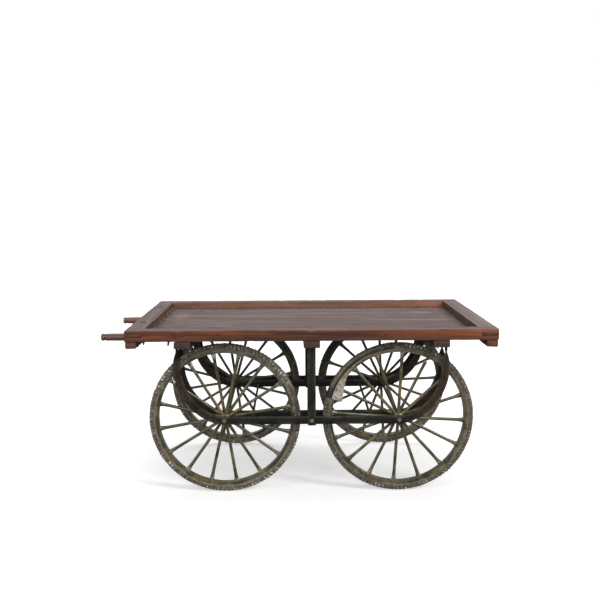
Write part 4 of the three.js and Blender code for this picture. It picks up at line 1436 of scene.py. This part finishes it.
# %% The hubs with their spokes
HUB_HALF = [
    (0.0240, 0.0000), (0.0236, 0.0040), (0.0228, 0.0060), (0.0228, 0.0160), (0.0238, 0.0175),
    (0.0250, 0.0190), (0.0250, 0.0235), (0.0235, 0.0255), (0.0185, 0.0275), (0.0160, 0.0290),
    (0.0160, 0.0540), (0.0150, 0.0548), (0.0082, 0.0548),
]
RIVET_RADIUS, RIVET_HEIGHT = 0.0036, 0.0022
RIVET_PLACE = 0.3225
TAIL_HALF_DEPTH = 0.0047
for seed, (wheel, first) in enumerate(FIRST_SPOKE.items()):
    bm = laid(turned(mirrored(HUB_HALF), 36, closed=True), ALONG_Y)
    turns = [
        Matrix.Rotation(math.radians(first) + index * FULL_TURN / SPOKE_COUNT, 4, "Y")
        for index in range(SPOKE_COUNT)
    ]
    broken = BROKEN_SPOKE.get(wheel)
    for index, turn in enumerate(turns):
        add_shell(bm, laid(spoke(index, index == broken, seed), turn))
    if broken is not None:
        stump = bmesh.new()
        bmesh.ops.create_cone(stump, cap_ends=True, segments=10, radius1=0.004, radius2=0.0085, depth=0.006)
        add_shell(bm, laid(stump, turns[broken] @ Matrix.Translation((0.002, 0, RIM_INSIDE - 0.0035))))
    for index, turn in enumerate(turns):
        for side in (-1, 1):
            if index != broken:
                rivet = laid(dome(RIVET_RADIUS, RIVET_HEIGHT), Matrix.Rotation(-side * math.pi / 2, 4, "X"))
                place = (0, side * TAIL_HALF_DEPTH, RIVET_PLACE)
                add_shell(bm, laid(rivet, turn @ Matrix.Translation(place)))
    add_to_wheel(wheel, "hub", bm, olive_paint)

# %% The rims
RIM_HALF = [
    (0.3318, 0.0000), (0.3320, 0.0140), (0.3322, 0.0185), (0.3332, 0.0205), (0.3352, 0.0210),
    (0.3376, 0.0208), (0.3388, 0.0198), (0.3402, 0.0198), (0.3412, 0.0208), (0.3440, 0.0210),
    (0.3462, 0.0207), (0.3470, 0.0196), (0.3470, 0.0182), (0.3458, 0.0173), (0.3385, 0.0171),
    (0.3370, 0.0160), (0.3370, 0.0000),
]
for seed, wheel in enumerate(FIRST_SPOKE):
    bm = laid(turned(mirrored(RIM_HALF), 144, closed=True), ALONG_Y)
    for vertex in bm.verts:
        vertex.co.y += noise.noise(vertex.co * 8 + Vector((seed * 5, 0, 0))) * 0.0004
    add_to_wheel(wheel, "rim", bm, olive_paint)

# %% [markdown]
# ## The tyres
#
# The rubber is a closed outline turned with the wheel. Studs are small bevelled blocks, made once
# on each shoulder and on the crown and then spun round with copies. Wear pushes studs back into
# the tread by noise, so some have gone altogether, and it eats notches out of the shoulder.

# %% The tyres
TYRE_HALF = [
    (0.3378, 0.0000), (0.3378, 0.0160), (0.3472, 0.0164), (0.3480, 0.0186), (0.3510, 0.0194),
    (0.3560, 0.0195), (0.3610, 0.0193), (0.3660, 0.0186), (0.3705, 0.0170), (0.3742, 0.0145),
    (0.3770, 0.0110), (0.3786, 0.0070), (0.3792, 0.0030), (0.3793, 0.0000),
]
STUD_COUNT = 120
STUD_SHIFT = 0.0030
STUD_SINK = 0.0022
STUD_SLANT = math.radians(32)
SHOULDER_TILT, CROWN_TILT = math.radians(-14), math.radians(-24)
TREAD_FROM = 0.349
TYRE_TOP = 0.3806
TYRE_HALF_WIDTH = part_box("tyre_near_left")[1].y - wheel_middle("near_left").y
# Angle ranges where studs are marked for painted white glints.
GLINTING_STUDS = {
    "near_left": [(40, 56, -0.3), (-66, -22, 0.05), (-150, -128, 0.1), (140, 170, 0.2)],
    "near_right": [(3, 38, 0.02), (150, 175, 0.2)],
}
PATCH_START, PATCH_END = math.radians(-73.5), math.radians(1.0)


def stud(place, size, turn):
    """One bevelled block on the tyre, at the top of the wheel"""
    bm = box_mesh(Vector(size) / -2, Vector(size) / 2)
    ease(bm, bm.edges[:], min(size) * 0.22, 1)
    wear = bm.verts.layers.float.new("wear")
    for vertex in bm.verts:
        vertex[wear] = 1
    return laid(bm, Matrix.Translation(place) @ turn)


def studded(shells):
    """Spins copies of some studs round the wheel"""
    bm = assembled(*shells)
    bmesh.ops.spin(
        bm, geom=bm.verts[:] + bm.edges[:] + bm.faces[:], cent=(0, 0, 0), axis=(0, 1, 0), dvec=(0, 0, 0),
        angle=FULL_TURN, steps=STUD_COUNT, use_merge=False, use_duplicate=True)
    return bm


def under_patch(wheel, place):
    """True where the patch of rubber covers the near right tyre"""
    angle = math.atan2(place.x, place.z)
    return wheel == "near_right" and PATCH_START < angle < PATCH_END and place.y < 0


def tyre_mesh(wheel, seed):
    bm = laid(turned(mirrored(TYRE_HALF), 180, closed=True), ALONG_Y)
    bm.verts.layers.float.new("wear")
    shells = []
    for side in (-1, 1):
        tilt = Matrix.Rotation(side * SHOULDER_TILT, 4, "X") @ Matrix.Rotation(side * STUD_SLANT, 4, "Y")
        shells.append(stud((0, side * 0.0180, 0.3650), (0.0088, 0.0048, 0.0150), tilt))
        crown = Matrix.Rotation(side * CROWN_TILT, 4, "X") @ Matrix.Rotation(side * STUD_SLANT, 4, "Z")
        shells.append(stud((0.0040, side * 0.0098, 0.3768), (0.0080, 0.0100, 0.0040), crown))
    add_shell(bm, studded(shells))
    wear = bm.verts.layers.float.get("wear")
    for vertex in bm.verts:
        place = vertex.co.copy()
        radius = math.hypot(place.x, place.z)
        outwards = Vector((place.x, 0, place.z)) / radius
        patchy = noise.noise(place * 16 + Vector((seed * 4.3, 0, 0)))
        if vertex[wear] > 0:
            single = noise.noise(place * 70 + Vector((3, seed * 1.9, 0)))
            gone = min(1, max(0, patchy * 2.2 + single * 1.4 + 0.1))
            if under_patch(wheel, place):
                gone = 1.5
            vertex.co += noise.noise_vector(place * 22 + Vector((0, seed * 2.7, 5))) * STUD_SHIFT
            vertex.co += noise.noise_vector(place * 85 + Vector((seed * 3.9, 1, 0))) * STUD_SHIFT * 0.6
            vertex.co -= outwards * STUD_SINK * gone
            vertex.co.y -= math.copysign(STUD_SINK * gone, place.y)
            vertex[wear] = 1 - 0.6 * gone
            angle = math.degrees(math.atan2(place.x, place.z))
            # Studs in these ranges are marked for painted white glints.
            for start, end, share in GLINTING_STUDS.get(wheel, ()):
                if start < angle < end and noise.noise(place * 40) > share:
                    vertex[wear] = 1.6
        elif radius > TREAD_FROM:
            lump = noise.noise(place * 60 + Vector((seed, 7, 0)))
            notch = max(0, noise.noise(place * 35 + Vector((seed * 9.1, 3, 0))) - 0.42)
            vertex.co += outwards * (0.0006 * lump - 0.010 * notch)
            vertex.co.y += 0.0006 * lump - math.copysign(0.006 * notch, place.y)
        radius = math.hypot(vertex.co.x, vertex.co.z)
        if radius > TYRE_TOP:
            vertex.co.x *= TYRE_TOP / radius
            vertex.co.z *= TYRE_TOP / radius
        vertex.co.y = max(-TYRE_HALF_WIDTH, min(TYRE_HALF_WIDTH, vertex.co.y))
    return bm


for seed, wheel in enumerate(FIRST_SPOKE):
    add_to_wheel(wheel, "tyre", tyre_mesh(wheel, seed), tyre_rubber)

# %% [markdown]
# ## The patch on the near right tyre
#
# A strip of newer rubber is wrapped over the shoulder of the tyre for a fifth of a turn and cut
# off square at its lower end. It is a strip of grid that is bent round the tyre's outline and
# given a thickness with a modifier.

# %% The rubber patch
PATCH_LINE = [
    (0.3515, -0.0208), (0.3560, -0.0214), (0.3610, -0.0212), (0.3660, -0.0203), (0.3706, -0.0186),
    (0.3744, -0.0160), (0.3774, -0.0124), (0.3792, -0.0080), (0.3798, -0.0030),
]


def on_line(points, share):
    """A point part of the way along a row of points"""
    spot = share * (len(points) - 1)
    index = min(int(spot), len(points) - 2)
    return Vector(points[index]).lerp(Vector(points[index + 1]), spot - index)


PATCH_THICKNESS = 0.0018


def thicken(piece, thickness):
    wall = piece.modifiers.new("wall", "SOLIDIFY")
    wall.thickness = thickness
    wall.offset = 0


patch_mesh = bmesh.new()
bmesh.ops.create_grid(patch_mesh, x_segments=90, y_segments=8, size=0.5)
for vertex in patch_mesh.verts:
    share_round, share_across = vertex.co.x + 0.5, vertex.co.y + 0.5
    taper = min(1, 4.5 * (1 - share_round) + 0.25)
    slanted = share_round - 0.035 * share_across * (1 - share_round)
    radius, across = on_line(PATCH_LINE, share_across * taper)
    angle = PATCH_START + (PATCH_END - PATCH_START) * max(0, slanted)
    lump = 0.0007 * noise.noise(Vector((share_round * 14, share_across * 2, 4)))
    vertex.co = (radius * math.sin(angle), across - lump, radius * math.cos(angle))
bmesh.ops.recalc_face_normals(patch_mesh, faces=patch_mesh.faces)
to_wheel("near_right", patch_mesh)
patch = add_piece("tyre_patch", patch_mesh, patch_rubber, body="wheel_near_right")
thicken(patch, PATCH_THICKNESS)
print("patch triangles:", triangle_count(patch.data))

# %% [markdown]
# ## The torn canvas
#
# Under the patch the tyre's canvas ply has come loose. It shows as a thin tan line along the
# patch, widens, and hangs as a flap inside the rim. The outer edge of the flap follows the tyre
# and its inner edge hangs almost straight down. It is a sheet of cloth, given a thickness, and its
# area is worked out and printed.

# %% The torn canvas
FLAP_ROWS, FLAP_COLUMNS = 40, 14
CANVAS_THICKNESS = 0.0012
FLAP_OUTER = [
    (-22, 0.3515), (-31, 0.3516), (-40, 0.3516), (-49, 0.3514), (-58, 0.3510), (-66, 0.3490),
    (-73, 0.3470),
]
FLAP_INNER = [
    (-22, 0.3475), (-31, 0.3455), (-40, 0.3430), (-49, 0.3360), (-58, 0.3170), (-66, 0.3020),
    (-74.5, 0.2930),
]
flap_mesh = bmesh.new()
bmesh.ops.create_grid(flap_mesh, x_segments=FLAP_COLUMNS, y_segments=FLAP_ROWS, size=0.5)
for vertex in flap_mesh.verts:
    across, down = vertex.co.x + 0.5, vertex.co.y + 0.5
    outer_angle, outer_radius = on_line(FLAP_OUTER, down)
    inner_angle, inner_radius = on_line(FLAP_INNER, down)
    frayed = 1.2 * noise.noise(Vector((across * 9, 2.5, 8))) * max(0, down - 0.9) / 0.1
    angle = math.radians(outer_angle + (inner_angle - outer_angle) * across + frayed)
    radius = outer_radius + (inner_radius - outer_radius) * across
    loose = across * max(0, down - 0.35)
    crumple = 0.010 * loose * noise.noise(Vector((across * 5, down * 11, 1)))
    depth = -0.0222 + 0.004 * loose + crumple
    vertex.co = (radius * math.sin(angle), depth, radius * math.cos(angle))
laid(flap_mesh, Matrix.Translation(wheel_middle("near_right")))
flap_area = sum(face.calc_area() for face in flap_mesh.faces)
flap = add_piece("torn_canvas", flap_mesh, canvas, body="wheel_near_right")
thicken(flap, CANVAS_THICKNESS)
print("canvas, square metres:", round(flap_area, 5))

# %% [markdown]
# ## Dust in the corners of the tray
#
# Years of dirt have packed into the angle between the bed and its frame. A thin ragged fillet
# runs round the tray: a small three-sided section drawn along each side, thick and thin by noise.
# Dirt has also filled the joints between the planks, up to a few millimetres below their tops.

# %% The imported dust
finish = Finish("packed_dust", Specular_IOR_Level=0.2)
cloud = finish.cloud(80, 6, 0.7)
finish.colour = finish.ramp(
    cloud, (0.34, srgb(48, 40, 34)), (0.5, srgb(82, 69, 58)), (0.66, srgb(134, 122, 108)))
finish.bump(cloud, 0.003)
packed_dust = finish.done(0.95)


def dirt_run(corners, start, end, step, across, size_at):
    """Draws a small face from start to end, with a width and a height for each place"""
    bm = bmesh.new()
    bmesh.ops.contextual_create(bm, geom=[bm.verts.new((x, y, 0)) for x, y in corners])
    start, run = Vector(start), Vector(end) - Vector(start)
    count = round(run.length / step)
    places = [start + run * index / count for index in range(count + 1)]
    return drawn(bm, [station(place, across, (0, 0, 1), size_at(place)) for place in places])


def dust_strip(start, end, inwards, seed, size):
    """A fillet along the foot of a wall, that reaches inwards"""
    def size_at(place):
        wide = size * (0.35 + 0.9 * abs(noise.noise(place * 21 + Vector((seed, 0, 0)))))
        high = size * (0.25 + 0.8 * abs(noise.noise(place * 17 + Vector((0, seed, 0)))))
        return wide, high
    corners = ((-0.06, -0.06), (1, -0.06), (0.35, 0.30), (-0.06, 0.9))
    return dirt_run(corners, start, end, 0.012, inwards, size_at)


CORNER_INSET = 0.002
x_low, x_high, y_high = BED_LEFT + CORNER_INSET, BED_RIGHT - CORNER_INSET, BED_SIDE - CORNER_INSET


def joint_dirt(index):
    """Dirt in the joint after one plank, with a top that rises and falls"""
    def size_at(place):
        return 0.0022, 0.0060 + 0.0025 * noise.noise(place * 25)
    y = (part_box(f"plank_{index}")[1].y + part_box(f"plank_{index + 1}")[0].y) / 2
    corners = ((-0.5, 0), (0.5, 0), (0.5, 1), (-0.5, 1))
    bottom = BED_TOP - 0.010
    return dirt_run(corners, (x_low, y, bottom), (x_high, y, bottom), 0.03, (0, 1, 0), size_at)


dust_mesh = assembled(
    *(joint_dirt(index) for index in range(1, PLANK_COUNT)),
    dust_strip((x_low, -y_high, BED_TOP), (x_low, y_high, BED_TOP), (1, 0, 0), 3, 0.032),
    dust_strip((x_high, -y_high, BED_TOP), (x_high, y_high, BED_TOP), (-1, 0, 0), 5, 0.010),
    dust_strip((x_low, y_high, BED_TOP), (x_high, y_high, BED_TOP), (0, -1, 0), 7, 0.005),
    dust_strip((x_low, -y_high, BED_TOP), (x_high, -y_high, BED_TOP), (0, 1, 0), 9, 0.008),
)
add_piece("tray_dust", dust_mesh, packed_dust)
print("dust triangles:", triangle_count(pieces[-1].data))

# %% [markdown]
# ## The floor
#
# The floor is a plain pale sheet that rides on no body. It looks nearly white, but throws back
# less light than it looks.

# %% The floor
FLOOR_HALF = 60
FLOOR_SEEN, FLOOR_LIT, FLOOR_GLOW = 0.8, 0.24, 0.45
finish = Finish("pale_floor", Specular_IOR_Level=0.0, Roughness=1.0)
share = seen_or_lit(finish.tree, FLOOR_SEEN, FLOOR_LIT)
finish.colour = finish.add("CombineColor", {0: share, 1: share, 2: share}).outputs[0]
glow = seen_or_lit(finish.tree, FLOOR_GLOW, 0.0)
finish.join(finish.shader.inputs["Emission Strength"], glow)
finish.join(finish.shader.inputs["Emission Color"], (1, 1, 1, 1))
floor_finish = finish.done(1.0)
floor_mesh = bmesh.new()
bmesh.ops.create_grid(floor_mesh, x_segments=1, y_segments=1, size=FLOOR_HALF)
floor_data = bpy.data.meshes.new("studio_floor")
floor_mesh.to_mesh(floor_data)
floor_mesh.free()
floor_data.materials.append(floor_finish)
floor = bpy.data.objects.new("studio_floor", floor_data)
bpy.context.scene.collection.objects.link(floor)
print("pieces:", len(pieces))

# %% [markdown]
# ## Measuring and finishing
#
# The last cell counts the triangles of all the pieces.

# %% Measuring and finishing
print("triangles:", sum(triangle_count(piece.data) for piece in pieces))
